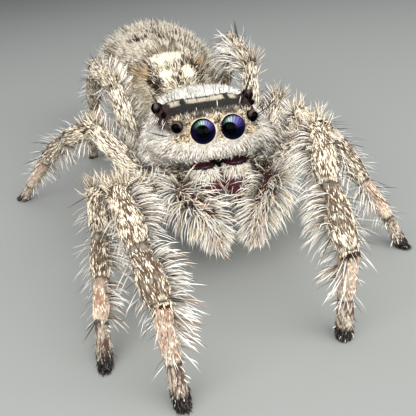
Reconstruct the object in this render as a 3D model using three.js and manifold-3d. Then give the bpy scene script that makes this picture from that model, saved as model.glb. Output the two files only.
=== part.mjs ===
// A regal jumping spider, grown female of the pale form, standing at life size.
// Millimetres, +Z up. The spider looks along -Y and its left side is +X.
// The solids reach to the tips of the short coat.
import * as THREE from 'three';
import { mergeVertices } from 'three/addons/utils/BufferGeometryUtils.js';
import Module from 'manifold-3d';

// ---- driving dimensions -------------------------------------------------------------------

const EYE_LEVEL = 4.2; // height of the big front eyes above the floor
const HEAD_UP = 8; // degrees that the head and thorax are tilted, face up
const JOINT_GAP = 0.05; // thin cut between two pieces that touch

const CARAPACE = {
  front: -0.16, widest: 3.1, rear: 6.2, halfWidth: 2.5, topHalfWidth: 1.7,
  frontRoundness: 2.6, rearRoundness: 2.1, squareness: 3.3, widestAt: 0.3, stations: 16, sides: 26,
};
// Side outline of the head shield: crown line and lower edge, each [distance back, height].
const CROWN_LINE = [[-0.16, -0.15], [0.0, 0.44], [0.35, 0.6], [1.3, 0.66], [2.4, 0.73], [3.2, 0.9],
  [4.2, 0.5], [5.4, -0.42], [6.2, -1.1]];
const LOWER_EDGE = [[-0.16, -0.75], [0.15, -1.04], [1.1, -1.08], [1.7, -1.5], [5, -1.5], [6.2, -1.25]];

const EYES = {
  front: { radius: 0.41, place: [0.485, 0.02, 0], sides: 14, rows: 10 },
  outer: { radius: 0.21, place: [1.24, 0.42, 0.17], sides: 10, rows: 7 },
  middle: { radius: 0.1, place: [1.54, 1.4, 0.42], sides: 8, rows: 6 },
  rear: { radius: 0.22, place: [1.66, 2.4, 0.5], sides: 10, rows: 7 },
};
const SOCKET_GAP = 0.03;

const JAW = {
  top: [0.56, 0.42, -1.13], tip: [0.5, 0.3, -2.95], halfWidth: 0.48, halfDepth: 0.52,
  forwardBow: 0.08, rings: 8, sides: 14,
};
const BREAST_PLATE = {
  front: 1.0, rear: 5.05, top: -1.56, depth: 0.85, halfWidth: 0.68, rings: 9, sides: 14,
};

const PALP = {
  root: [1.42, 0.68, -1.9], elbow: [1.44, -0.62, -1.75],
  wrist: [0.86, -1.2, -2.35], tip: [0.52, -1.2, -3.62],
  radii: [0.3, 0.38, 0.4, 0.28], middles: [0.38, 0.4, 0.46], // at the four joints, and between them
  level: new THREE.Vector3(0, 1, 0.6), // the bend of a palp lies along this direction
};

const WAIST = { front: [0, 6.17, 2.2], rear: [0, 6.5, 2.5], radius: 0.34 };
// The abdomen is swung about the waist towards the spider's right: degrees, and the pivot's place.
const SWING = { degrees: 12, pivot: new THREE.Vector3(0, 6.35, 0) };
const ABDOMEN = {
  front: 6.45, widest: 10.9, rear: 15.3, halfWidth: 2.88, halfHeight: 2.45, middleHeight: 3.25,
  frontRoundness: 2.2, rearRoundness: 1.9, rise: 0.25, stations: 15, sides: 24,
};
const SPINNERETS = {
  root: [0, 15.38, 3.05], tip: [0, 16.15, 2.75], radius: 0.44, lobes: 3, lobeDepth: 0.16,
  places: [0, 0.35, 0.7, 1], sides: 18,
};

// Legs 1 to 4 from the front. Lengths run from the thigh to the foot.
const SEGMENTS = ['thigh', 'knee', 'shin', 'heel', 'foot'];
const LEG_SHAPES = {
  1: { hip: [2.05, 1.5, -2.25], lengths: [3.6, 2.2, 2.15, 1.45, 1.25], bulk: 1 },
  2: { hip: [2.47, 2.5, -2.42], lengths: [2.85, 1.5, 1.65, 1.4, 1.15], bulk: 0.9 },
  3: { hip: [2.42, 3.6, -2.38], lengths: [2.9, 1.5, 1.65, 1.75, 1.1], bulk: 0.9 },
  4: { hip: [2.4, 5.0, -2.5], lengths: [3.7, 1.8, 2.3, 2.4, 1.2], bulk: 0.95 },
};
const HIP_INNER = 0.86; // where the first joint of each leg meets the breast plate, from the middle
// The stance. thighTurn and shankTurn: degrees from straight ahead towards the spider's own side.
// falls: slope of knee, shin, heel and foot. The thigh's slope follows from the foot's height.
const STANCE = {
  left: {
    1: { thighTurn: 14, shankTurn: -11, falls: [-22, -18, -88, -83] },
    2: { thighTurn: 22, shankTurn: 38, falls: [-23, -49, -49, -58] },
    3: { thighTurn: 145, shankTurn: 173, falls: [-26, -26, -28, -52] },
    4: { thighTurn: 165, shankTurn: 190, falls: [24, -64, -66, -66] },
  },
  right: {
    1: { thighTurn: 24, shankTurn: -8, falls: [-17, -4, -81, -70] },
    2: { thighTurn: 39, shankTurn: 4, falls: [-31, -21, -13, -49] },
    3: { thighTurn: 90, shankTurn: 125, falls: [-22, -38, -48, -49] },
    4: { thighTurn: 125, shankTurn: 158, falls: [14, -58, -62, -58] },
  },
};
// Half thickness of a leg: at its joints, and across and deep at the middle of each segment.
const JOINT_RADII = [0.39, 0.4, 0.38, 0.33, 0.27, 0.25];
const MIDDLE_WIDTHS = [0.45, 0.46, 0.43, 0.32, 0.27];
const MIDDLE_DEPTHS = [0.55, 0.47, 0.44, 0.33, 0.27];
const THINNEST = 0.25;
const LEG_SIDES = 10;
const RING_PLACES = [0, 0.22, 0.5, 0.74, 1]; // along each limb segment

// ---- shared shape functions ---------------------------------------------------------------

const vector = ([x, y, z]) => new THREE.Vector3(x, y, z);
const mirrored = ([x, y, z], side) => [x * side, y, z];
const radians = THREE.MathUtils.degToRad;
const SIDEWAYS = new THREE.Vector3(1, 0, 0);
const FORE_AND_AFT = new THREE.Vector3(0, 1, 0);
const UPWARD = new THREE.Vector3(0, 0, 1);
const SIDES = { left: 1, right: -1 };

// Height on an outline of [distance, height] points, as a smooth curve through them.
function heightOn(outline, distance) {
  const curve = new THREE.SplineCurve(outline.map(([y, z]) => new THREE.Vector2(y, z)));
  let low = 0;
  let high = 1;
  for (let halving = 0; halving < 30; halving += 1) {
    const middle = (low + high) / 2;
    if (curve.getPoint(middle).x < distance) {
      low = middle;
    } else {
      high = middle;
    }
  }
  return curve.getPoint(low).y;
}

// Half width of an egg shape, from 0 at its ends to 1 at its widest place.
function eggWidth(distance, egg) {
  const ahead = distance < egg.widest;
  const reach = ahead ? egg.widest - egg.front : egg.rear - egg.widest;
  const roundness = ahead ? egg.frontRoundness : egg.rearRoundness;
  const fraction = Math.min(1, Math.abs(distance - egg.widest) / reach);
  return (1 - fraction ** roundness) ** (1 / roundness);
}

// Places from front to rear, closer together at both ends.
function stationsOf(egg) {
  const inset = 0.1;
  return Array.from({ length: egg.stations }, (_, index) => {
    const turn = THREE.MathUtils.lerp(inset, Math.PI - inset, index / (egg.stations - 1));
    return THREE.MathUtils.lerp(egg.front, egg.rear, (1 - Math.cos(turn)) / 2);
  });
}

// Signed power, for rounded-square sections.
const bend = (value, power) => Math.sign(value) * Math.abs(value) ** power;

// A closed solid through rings of points that all have the same count.
function loft(rings) {
  const sides = rings[0].length;
  const centre = (ring) => (
    ring.reduce((sum, point) => sum.add(point), new THREE.Vector3()).divideScalar(sides));
  const points = [...rings.flat(), centre(rings[0]), centre(rings.at(-1))];
  const firstCentre = points.length - 2;
  const lastCentre = points.length - 1;
  const lastRing = (rings.length - 1) * sides;
  const triangles = [];
  for (let side = 0; side < sides; side += 1) {
    const next = (side + 1) % sides;
    triangles.push([firstCentre, next, side], [lastCentre, lastRing + side, lastRing + next]);
    for (let ring = 0; ring < rings.length - 1; ring += 1) {
      const near = ring * sides;
      const far = near + sides;
      triangles.push([near + side, near + next, far + next], [near + side, far + next, far + side]);
    }
  }
  return facingOut(points, triangles);
}

// A geometry whose triangles all face away from the solid.
function facingOut(points, triangles) {
  const volume = triangles.reduce((sum, [a, b, c]) => (
    sum + points[a].dot(new THREE.Vector3().crossVectors(points[b], points[c]))), 0);
  const ordered = volume > 0 ? triangles : triangles.map(([a, b, c]) => [a, c, b]);
  const geometry = new THREE.BufferGeometry().setFromPoints(points);
  geometry.setIndex(ordered.flat());
  geometry.computeVertexNormals();
  return geometry;
}

// An oval ring round a centre, in the plane of two unit directions.
function ovalRing(centre, across, up, halfWidth, halfDepth, sides) {
  return Array.from({ length: sides }, (_, index) => {
    const turn = (2 * Math.PI * (index + 0.5)) / sides;
    return centre.clone()
      .addScaledVector(across, Math.cos(turn) * halfWidth)
      .addScaledVector(up, Math.sin(turn) * halfDepth);
  });
}

// ---- materials ----------------------------------------------------------------------------

const material = (color, roughness, metalness = 0) => (
  new THREE.MeshStandardMaterial({ color, roughness, metalness }));
const paleCoat = () => material('#d9cfbd', 0.9);
const greyCoat = () => material('#b9b2a6', 0.9);
const blushCoat = () => material('#d3b29c', 0.88);
const darkCoat = () => material('#5b473b', 0.85);
const blackLens = () => material('#0b0a12', 0.08);
const jawShell = () => material('#6a1f45', 0.3, 0.25);
const breastShell = () => material('#3a2b25', 0.6);

const SEGMENT_FINISHES = [paleCoat, paleCoat, paleCoat, blushCoat, darkCoat];

function piece(name, geometry, finish) {
  const mesh = new THREE.Mesh(geometry, finish);
  mesh.name = name;
  return mesh;
}

// ---- cutting with manifold ----------------------------------------------------------------

const wasm = await Module();
wasm.setup();

function toSolid(geometry) {
  const bare = geometry.clone();
  bare.deleteAttribute('normal');
  bare.deleteAttribute('uv');
  const merged = mergeVertices(bare);
  return new wasm.Manifold(new wasm.Mesh({
    numProp: 3,
    vertProperties: new Float32Array(merged.attributes.position.array),
    triVerts: new Uint32Array(merged.index.array),
  }));
}

function fromSolid(solid) {
  const mesh = solid.getMesh();
  const geometry = new THREE.BufferGeometry();
  geometry.setAttribute('position', new THREE.BufferAttribute(mesh.vertProperties, 3));
  geometry.setIndex(new THREE.BufferAttribute(mesh.triVerts, 1));
  geometry.computeVertexNormals();
  return geometry;
}

// ---- head and thorax ----------------------------------------------------------------------

const body = new THREE.Group();
body.position.z = EYE_LEVEL;
body.rotation.x = -radians(HEAD_UP);
body.updateMatrixWorld();

// One cross-section of the head shield: a flat-topped arch over a shallow keel.
function carapaceSection(distance) {
  const spread = eggWidth(distance, CARAPACE);
  const crown = heightOn(CROWN_LINE, distance);
  const lower = heightOn(LOWER_EDGE, distance);
  const middle = THREE.MathUtils.lerp(lower, crown, CARAPACE.widestAt);
  const power = 2 / CARAPACE.squareness;
  return Array.from({ length: CARAPACE.sides }, (_, index) => {
    const turn = (2 * Math.PI * (index + 0.5)) / CARAPACE.sides;
    const lift = bend(Math.sin(turn), power);
    const above = Math.max(0, lift);
    const halfWidth = THREE.MathUtils.lerp(CARAPACE.halfWidth, CARAPACE.topHalfWidth, above) * spread;
    const height = lift * (lift > 0 ? crown - middle : middle - lower);
    return new THREE.Vector3(bend(Math.cos(turn), power) * halfWidth, distance, middle + height);
  });
}

function eyeBall(eye, side, growth = 0) {
  const ball = new THREE.SphereGeometry(eye.radius + growth, eye.sides, eye.rows);
  ball.rotateX(Math.PI / 2);
  return ball.translate(...mirrored(eye.place, side));
}

function makeCarapace() {
  let shield = toSolid(loft(stationsOf(CARAPACE).map(carapaceSection)));
  for (const eye of Object.values(EYES)) {
    for (const side of Object.values(SIDES)) {
      shield = shield.subtract(toSolid(eyeBall(eye, side, SOCKET_GAP)));
    }
  }
  return piece('carapace', fromSolid(shield), paleCoat());
}

function makeEyes() {
  return Object.entries(EYES).flatMap(([row, eye]) => (
    Object.entries(SIDES).map(([sideName, side]) => (
      piece(`eye_${row}_${sideName}`, eyeBall(eye, side), blackLens())))));
}

// Breast plate between the hips, blunt in front where the mouthparts are, pointed behind.
function makeBreastPlate() {
  const { front, rear, top, depth, halfWidth, rings, sides } = BREAST_PLATE;
  const ovals = Array.from({ length: rings }, (_, index) => {
    const along = index / (rings - 1);
    const swell = Math.sqrt(Math.sin(Math.PI * THREE.MathUtils.lerp(0.12, 0.9, along)));
    const centre = new THREE.Vector3(0, THREE.MathUtils.lerp(front, rear, along), top - depth / 2);
    return ovalRing(centre, SIDEWAYS, UPWARD, halfWidth * swell, (depth / 2) * swell, sides);
  });
  return piece('breast_plate', loft(ovals), breastShell());
}

// How full a jaw is along its length: fullest below its root, narrow at the fang.
function jawFullness(along) {
  const belly = Math.sin(Math.PI * Math.min(1, along * 1.25));
  return 0.8 + 0.28 * belly - 0.35 * along ** 3;
}

function makeJaw(sideName) {
  const side = SIDES[sideName];
  const top = vector(mirrored(JAW.top, side));
  const tip = vector(mirrored(JAW.tip, side));
  const ovals = Array.from({ length: JAW.rings }, (_, index) => {
    const along = index / (JAW.rings - 1);
    const swell = jawFullness(along);
    const centre = top.clone().lerp(tip, along);
    centre.y -= JAW.forwardBow * Math.sin(Math.PI * along);
    return ovalRing(centre, SIDEWAYS, FORE_AND_AFT, JAW.halfWidth * swell, JAW.halfDepth * swell,
      JAW.sides);
  });
  return piece(`jaw_${sideName}`, loft(ovals), jawShell());
}

// ---- jointed limbs ------------------------------------------------------------------------

// Where a point lands when it slides along a direction to a plane through an origin.
function slideToPlane(point, direction, origin, normal) {
  const reach = origin.clone().sub(point).dot(normal) / direction.dot(normal);
  return point.clone().addScaledVector(direction, reach);
}

// Rings of one limb segment. Its ends lie in the planes that halve the bends at its joints.
function segmentRings(start, end, startPlane, endPlane, shape) {
  const direction = end.clone().sub(start).normalize();
  const up = new THREE.Vector3().crossVectors(shape.across, direction).normalize();
  return RING_PLACES.map((along) => {
    const fullness = Math.sin(Math.PI * along) ** 0.8;
    const joint = THREE.MathUtils.lerp(shape.startRadius, shape.endRadius, along);
    const halfWidth = THREE.MathUtils.lerp(joint, shape.width, fullness);
    const halfDepth = THREE.MathUtils.lerp(joint, shape.depth, fullness);
    const centre = start.clone().lerp(end, along);
    const ring = ovalRing(centre, shape.across, up, halfWidth, halfDepth, LEG_SIDES);
    if (along === 0) {
      return ring.map((point) => slideToPlane(point, direction, start, startPlane));
    }
    if (along === 1) {
      return ring.map((point) => slideToPlane(point, direction, end, endPlane));
    }
    return ring;
  });
}

// The plane that halves the bend between two directions.
const halvingPlane = (before, after) => before.clone().add(after).normalize();

const headingsOf = (joints) => (
  joints.slice(1).map((joint, index) => joint.clone().sub(joints[index]).normalize()));

// Joint places of a leg: inner hip, hip, then the end of each segment. The foot ends on the floor.
// Each segment also has its level sideways direction.
function legJoints(number, side, stance) {
  const { hip, lengths } = LEG_SHAPES[number];
  const inner = body.localToWorld(vector([HIP_INNER * side, hip[1], hip[2] + 0.05]));
  const outer = body.localToWorld(vector(mirrored(hip, side)));
  const drop = stance.falls.reduce((sum, fall, index) => (
    sum + lengths[index + 1] * Math.sin(radians(fall))), 0);
  const thighRise = Math.asin((-outer.z - drop) / lengths[0]);
  const slopes = [thighRise, ...stance.falls.map(radians)];
  const joints = [inner, outer];
  const acrosses = [];
  slopes.forEach((slope, index) => {
    const turn = radians(index === 0 ? stance.thighTurn : stance.shankTurn);
    const ahead = new THREE.Vector3(side * Math.sin(turn), -Math.cos(turn), 0);
    acrosses.push(new THREE.Vector3(ahead.y, -ahead.x, 0));
    const step = ahead.multiplyScalar(Math.cos(slope)).setZ(Math.sin(slope));
    joints.push(joints.at(-1).clone().addScaledVector(step, lengths[index]));
  });
  return { joints, acrosses };
}

function makeLeg(sideName, number) {
  const { bulk } = LEG_SHAPES[number];
  const { joints, acrosses } = legJoints(number, SIDES[sideName], STANCE[sideName][number]);
  const headings = headingsOf(joints);
  const planes = headings.slice(1).map((heading, index) => halvingPlane(headings[index], heading));
  planes.push(UPWARD.clone().negate());
  const sized = (radius) => Math.max(THINNEST, radius * bulk);
  return SEGMENTS.map((segment, index) => {
    const start = joints[index + 1].clone();
    const end = joints[index + 2].clone();
    const isThigh = index === 0;
    const isFoot = index === SEGMENTS.length - 1;
    const shape = {
      across: acrosses[index],
      startRadius: sized(JOINT_RADII[index]),
      endRadius: sized(JOINT_RADII[index + 1]),
      width: sized(MIDDLE_WIDTHS[index]),
      depth: sized(MIDDLE_DEPTHS[index]),
    };
    start.addScaledVector(planes[index], isThigh ? 0 : JOINT_GAP / 2);
    end.addScaledVector(planes[index + 1], isFoot ? 0 : -JOINT_GAP / 2);
    const rings = segmentRings(start, end, planes[index], planes[index + 1], shape);
    const hip = isThigh ? hipRings(joints[0], joints[1], shape.startRadius) : [];
    const name = `leg_${sideName}_${number}_${segment}`;
    return piece(name, loft([...hip, ...rings]), SEGMENT_FINISHES[index]());
  });
}

// The short first joint of a leg, from the breast plate out to the hip.
function hipRings(inner, hip, radius) {
  const heading = hip.clone().sub(inner).normalize();
  const across = new THREE.Vector3().crossVectors(heading, UPWARD).normalize();
  const up = new THREE.Vector3().crossVectors(across, heading);
  return [0, 0.55].map((along) => (
    ovalRing(inner.clone().lerp(hip, along), across, up, radius, radius, LEG_SIDES)));
}

// A palp: a bent arm and a bushy tip that hangs in front of the jaws.
function makePalp(sideName) {
  const joints = [PALP.root, PALP.elbow, PALP.wrist, PALP.tip]
    .map((place) => vector(mirrored(place, SIDES[sideName])));
  const headings = headingsOf(joints);
  const planes = [headings[0], halvingPlane(headings[0], headings[1]),
    halvingPlane(headings[1], headings[2]), headings[2]];
  const rings = headings.map((heading, index) => {
    const shape = {
      across: new THREE.Vector3().crossVectors(heading, PALP.level).normalize(),
      startRadius: PALP.radii[index],
      endRadius: PALP.radii[index + 1],
      width: PALP.middles[index],
      depth: PALP.middles[index],
    };
    const start = joints[index].clone();
    const end = joints[index + 1].clone();
    start.addScaledVector(planes[index], index === 2 ? JOINT_GAP / 2 : 0);
    end.addScaledVector(planes[index + 1], index === 1 ? -JOINT_GAP / 2 : 0);
    return segmentRings(start, end, planes[index], planes[index + 1], shape);
  });
  const [upperArm, lowerArm, tip] = rings;
  return [
    piece(`palp_${sideName}_arm`, loft([...upperArm, ...lowerArm.slice(1)]), paleCoat()),
    piece(`palp_${sideName}_tip`, loft(tip), blushCoat()),
  ];
}

// ---- abdomen ------------------------------------------------------------------------------

const swung = (point) => (
  point.clone().sub(SWING.pivot).applyAxisAngle(UPWARD, radians(SWING.degrees)).add(SWING.pivot));

function makeAbdomen() {
  const across = SIDEWAYS.clone().applyAxisAngle(UPWARD, radians(SWING.degrees));
  const rings = stationsOf(ABDOMEN).map((distance) => {
    const swell = eggWidth(distance, ABDOMEN);
    const along = (distance - ABDOMEN.front) / (ABDOMEN.rear - ABDOMEN.front);
    const height = ABDOMEN.middleHeight + ABDOMEN.rise * Math.sin(Math.PI * along);
    const centre = swung(new THREE.Vector3(0, distance, height));
    return ovalRing(centre, across, UPWARD, ABDOMEN.halfWidth * swell, ABDOMEN.halfHeight * swell,
      ABDOMEN.sides);
  });
  return piece('abdomen', loft(rings), greyCoat());
}

// The thin waist between the head shield and the abdomen.
function makeWaist() {
  const rings = [WAIST.front, WAIST.rear].map((place) => (
    ovalRing(vector(place), SIDEWAYS, UPWARD, WAIST.radius, WAIST.radius, LEG_SIDES)));
  return piece('waist', loft(rings), darkCoat());
}

// A short cluster of spinnerets, drawn as one lobed cone.
function makeSpinnerets() {
  const { root, tip, radius, lobes, lobeDepth, sides, places } = SPINNERETS;
  const rings = places.map((along) => {
    const centre = vector(root).lerp(vector(tip), along);
    const reach = radius * Math.cos(along);
    return Array.from({ length: sides }, (_, index) => {
      const turn = (2 * Math.PI * index) / sides;
      const lobe = reach * (1 - lobeDepth * along * (1 - Math.cos(lobes * turn)));
      return swung(centre.clone().add(
        new THREE.Vector3(Math.sin(turn) * lobe, 0, Math.cos(turn) * lobe)));
    });
  });
  return piece('spinnerets', loft(rings), darkCoat());
}

// ---- the whole spider ---------------------------------------------------------------------

body.add(makeCarapace(), ...makeEyes(), makeBreastPlate());
for (const sideName of Object.keys(SIDES)) body.add(makeJaw(sideName), ...makePalp(sideName));

const spider = new THREE.Group();
spider.add(body, makeWaist(), makeAbdomen(), makeSpinnerets());
for (const sideName of Object.keys(SIDES)) {
  for (const number of Object.keys(LEG_SHAPES)) spider.add(...makeLeg(sideName, number));
}

// The origin is the middle of the footprint, on the floor.
const extent = new THREE.Box3().setFromObject(spider, true);
const middle = extent.getCenter(new THREE.Vector3());
spider.position.set(-middle.x, -middle.y, -extent.min.z);

export default spider;
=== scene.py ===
import math
from functools import partial
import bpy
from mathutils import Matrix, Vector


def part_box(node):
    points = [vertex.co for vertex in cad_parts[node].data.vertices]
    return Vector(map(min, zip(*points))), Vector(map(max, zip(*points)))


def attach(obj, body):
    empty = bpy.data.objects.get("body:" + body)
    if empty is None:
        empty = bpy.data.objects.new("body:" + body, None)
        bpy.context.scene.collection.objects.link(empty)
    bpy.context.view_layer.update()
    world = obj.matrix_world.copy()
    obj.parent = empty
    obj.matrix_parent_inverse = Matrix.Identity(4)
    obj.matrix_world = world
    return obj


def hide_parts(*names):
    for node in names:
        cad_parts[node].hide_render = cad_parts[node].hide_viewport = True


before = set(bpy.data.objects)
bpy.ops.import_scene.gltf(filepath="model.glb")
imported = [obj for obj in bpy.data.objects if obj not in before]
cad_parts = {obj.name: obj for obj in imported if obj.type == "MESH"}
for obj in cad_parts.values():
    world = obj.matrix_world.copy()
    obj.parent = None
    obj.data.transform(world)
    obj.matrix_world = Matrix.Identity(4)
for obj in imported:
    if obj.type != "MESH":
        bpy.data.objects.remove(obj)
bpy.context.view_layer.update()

from types import SimpleNamespace

import bpy
import numpy as np
from mathutils import Matrix, Vector
from mathutils.kdtree import KDTree

# ==== the plan of the body =====================================================================
# A grown female regal jumping spider of the pale form. She looks along -Y with her head tilted
# up a little. Shapes are worked in millimetres and put into metres when each piece is finished.

MM = 0.001
SIDES = {"left": 1, "right": -1}
HEAD_TILT = math.radians(8)
SAMPLES_PER_SQUARE_MM = 60
LEAST_SAMPLES = 40
dice = np.random.default_rng(11)


def unit(vectors):
    """The same directions, each of length one."""
    return vectors / np.maximum(np.linalg.norm(vectors, axis=-1, keepdims=True), 1e-9)


def triangles_of(mesh):
    """The three corner numbers of each of a mesh's triangles."""
    mesh.calc_loop_triangles()
    corners = np.empty(len(mesh.loop_triangles) * 3, np.int32)
    mesh.loop_triangles.foreach_get("vertices", corners)
    return corners.reshape(-1, 3)


def places_of(mesh):
    """The place of each of a mesh's vertices."""
    places = np.empty(len(mesh.vertices) * 3, np.float32)
    mesh.vertices.foreach_get("co", places)
    return places.reshape(-1, 3).astype(float)


def areas_of(places, corners):
    """The area of each triangle."""
    first, second, third = (places[corners[:, i]] for i in range(3))
    return np.linalg.norm(np.cross(second - first, third - first), axis=1) / 2


def spread_over(areas, count):
    """Random triangles, larger ones more often, and a random mix of each one's three corners."""
    total = np.cumsum(areas)
    chosen = np.searchsorted(total, dice.random(count) * total[-1])
    mix = dice.random((count, 2))
    outside = mix.sum(1) > 1
    mix[outside] = 1 - mix[outside]
    return chosen, np.column_stack([1 - mix.sum(1), mix])[..., None]


def samples_of(node):
    """Points spread evenly over a node of the solid model."""
    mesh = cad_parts[node].data
    places = places_of(mesh) / MM
    corners = triangles_of(mesh)
    areas = areas_of(places, corners)
    count = int(areas.sum() * SAMPLES_PER_SQUARE_MM) + LEAST_SAMPLES
    chosen, mix = spread_over(areas, count)
    return (places[corners[chosen]] * mix).sum(1)


samples = {node: samples_of(node) for node in sorted(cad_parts)}


def ball_of(node):
    """Middle and radius of a round node."""
    low, high = (np.array(corner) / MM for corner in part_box(node))
    return (low + high) / 2, (high - low).max() / 2


# The head's own axes: across to the left side, straight back, and up.
brow = (ball_of("eye_front_left")[0] + ball_of("eye_front_right")[0]) / 2
head_axes = np.array([
    [1, 0, 0],
    [0, math.cos(HEAD_TILT), -math.sin(HEAD_TILT)],
    [0, math.sin(HEAD_TILT), math.cos(HEAD_TILT)],
])


# Each limb is a chain of stiff tubes. A line down its middle tells which way its hair runs.
LEG_PARTS = ("thigh", "knee", "shin", "heel", "foot")
PALP_PARTS = ("arm", "tip")
SLICES = 5  # points of the line on each part


def middle_line(nodes):
    """The line through the middle of a chain of nodes, from the body to the tip."""
    points = []
    inner = samples["breast_plate"].mean(0)
    for node in nodes:
        cloud = samples[node]
        axis = np.linalg.svd(cloud - cloud.mean(0), full_matrices=False)[2][0]
        reach = (cloud - cloud.mean(0)) @ axis
        ends = cloud.mean(0) + np.outer([reach.min(), reach.max()], axis)
        if np.linalg.norm(ends[0] - inner) > np.linalg.norm(ends[1] - inner):
            reach = -reach
            ends = ends[::-1]
        cuts = np.linspace(reach.min(), reach.max() + 1e-6, SLICES + 1)
        for low, high in zip(cuts[:-1], cuts[1:]):
            points.append(cloud[(reach >= low) & (reach < high)].mean(0))
        inner = ends[1]
    points = np.array(points + [inner])
    steps = np.linalg.norm(np.diff(points, axis=0), axis=1)
    along = np.concatenate([[0], np.cumsum(steps)])
    firsts = np.arange(1, len(nodes)) * SLICES
    borders = np.concatenate([[0], (along[firsts] + along[firsts - 1]) / 2, [along[-1]]])
    tangents = unit(np.gradient(points, axis=0))
    return SimpleNamespace(
        points=points, along=along, borders=borders, tangents=tangents, nodes=nodes)


limbs = {}
for side in SIDES:
    for number in range(1, 5):
        leg = f"leg_{side}_{number}"
        limbs[leg] = middle_line([f"{leg}_{part}" for part in LEG_PARTS])
    limbs[f"palp_{side}"] = middle_line([f"palp_{side}_{part}" for part in PALP_PARTS])

# ==== the eyes =================================================================================
# Eight lenses of clear shell, set fast in the head: two big ones in front, a smaller one outside
# each, a tiny one behind that, and one on each rear corner. The front ones show a dark iris.

EYE_GAZES = {"front": (0, 0), "outer": (27, 14), "middle": (68, 32), "rear": (72, 40)}  # out, up
EYE_PUPILS = {"front": 0.47, "outer": 0.7, "middle": 1.0, "rear": 0.55}
# How strong the painted reflection is in each kind of eye.
EYE_PAINTED_SHINES = {"front": 1.0, "outer": 0.6, "middle": 0.0, "rear": 0.7}
EYE_GREYS = {"front": 0.0, "outer": 1.0, "middle": 1.0, "rear": 1.0}  # how dull each eye's ground and painted reflection are
# Where the pupil lies in each front eye, and in the others, as across and up.
GLANCES = {"left": (-0.38, 0.1, 0), "right": (-0.15, 0.18, 0)}
PLAIN_GLANCE = (0, -0.2, 0)
LENS_BULGE = 1.05
BULGE_START = 0.45  # how far towards the gaze the bulge begins, as a share of the radius
EYE_SEGMENTS = 48


def paint(red, green, blue):
    """A colour given as 0 to 255 on a display, as the renderer's own values."""
    shares = np.array([red, green, blue]) / 255
    return np.where(shares <= 0.04045, shares / 12.92, ((shares + 0.055) / 1.055) ** 2.4)


def new_group(name, inputs, outputs):
    """An empty shader node group with named sockets, and its input and output nodes."""
    group = bpy.data.node_groups.new(name, "ShaderNodeTree")
    kinds = {"float": "NodeSocketFloat", "vector": "NodeSocketVector", "colour": "NodeSocketColor"}
    for label, kind in inputs:
        group.interface.new_socket(label, in_out="INPUT", socket_type=kinds[kind])
    for label, kind in outputs:
        group.interface.new_socket(label, in_out="OUTPUT", socket_type=kinds[kind])
    return group, group.nodes.new("NodeGroupInput"), group.nodes.new("NodeGroupOutput")


def feed(tree, sockets, values):
    """Gives each socket a number, a colour or another node's output."""
    for socket, value in zip(sockets, values):
        if isinstance(value, bpy.types.NodeSocket):
            tree.links.new(value, socket)
        else:
            socket.default_value = value if np.isscalar(value) else (*value, 1)


def value_of(tree, operation, *values, clamp=False):
    """A Math node. Each value is a number or another node's output."""
    node = tree.nodes.new("ShaderNodeMath")
    node.operation = operation
    node.use_clamp = clamp
    feed(tree, node.inputs, values)
    return node.outputs[0]


def ramp_of(tree, share, stops):
    """A colour ramp with stops of (place, colour)."""
    node = tree.nodes.new("ShaderNodeValToRGB")
    while len(node.color_ramp.elements) < len(stops):
        node.color_ramp.elements.new(1)
    for element, (place, colour) in zip(node.color_ramp.elements, stops):
        element.position = place
        element.color = (*colour, 1)
    tree.links.new(share, node.inputs[0])
    return node.outputs[0]


def mix_of(tree, share, first, second):
    """Two colours mixed by a share. Each is a colour or another node's output."""
    node = tree.nodes.new("ShaderNodeMix")
    node.data_type = "RGBA"
    feed(tree, (node.inputs[0], node.inputs[6], node.inputs[7]), (share, first, second))
    return node.outputs[2]


# The iris: a black pupil in a deep blue ground that turns violet outside, and a striped painted
# reflection of the lamps above it.
IRIS_RINGS = [
    (0.0, paint(2, 2, 12)), (0.6, paint(4, 4, 22)), (0.8, paint(9, 7, 36)),
    (0.92, paint(14, 8, 24)), (1.0, paint(4, 3, 5)),
]
PUPIL_BLACK = paint(1, 1, 2)
PUPIL_EDGE = 0.07
DULL_GROUND = paint(8, 6, 5)
# The painted reflection in the dull eyes is brown-grey.
DULL_PAINTED_REFLECTION = paint(104, 90, 82)
# Tints of the painted reflection in the front eyes, from its left end to its right.
PAINTED_REFLECTION_TINTS = [
    (0.0, paint(12, 24, 32)), (0.28, paint(62, 108, 86)), (0.46, paint(160, 182, 172)),
    (0.6, paint(112, 110, 158)), (0.8, paint(50, 40, 100)), (1.0, paint(10, 8, 32)),
]
PAINTED_REFLECTION_MIDDLE = 0.22  # bearing of the painted reflection's middle from straight up, in radians
PAINTED_REFLECTION_HALF_WIDTH = 1.6
PAINTED_REFLECTION_RISE = 2.6  # how soon the painted reflection is full, from its two ends
PAINTED_REFLECTION_OUTSIDE = 0.97  # how far out it ends, and how sharply
PAINTED_REFLECTION_OUTER_RISE = 9
PAINTED_REFLECTION_STRIPES = 22
STRIPE_DEPTH = 0.3

iris, iris_in, iris_out = new_group("iris", [
    ("Place", "vector"), ("Glance", "vector"), ("Pupil", "float"), ("Shine", "float"),
    ("Grey", "float")], [("Colour", "colour")])
minus, plus, times, over_by = (
    partial(value_of, iris, operation) for operation in ("SUBTRACT", "ADD", "MULTIPLY", "DIVIDE"))


def length_and_bearing(place):
    """How far a flat place lies from the middle, and its bearing from straight up."""
    parts = iris.nodes.new("ShaderNodeSeparateXYZ")
    iris.links.new(place, parts.inputs[0])
    across, upward, _ = parts.outputs
    length = value_of(iris, "SQRT", plus(times(across, across), times(upward, upward)))
    return length, value_of(iris, "ARCTAN2", across, upward)


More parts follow.
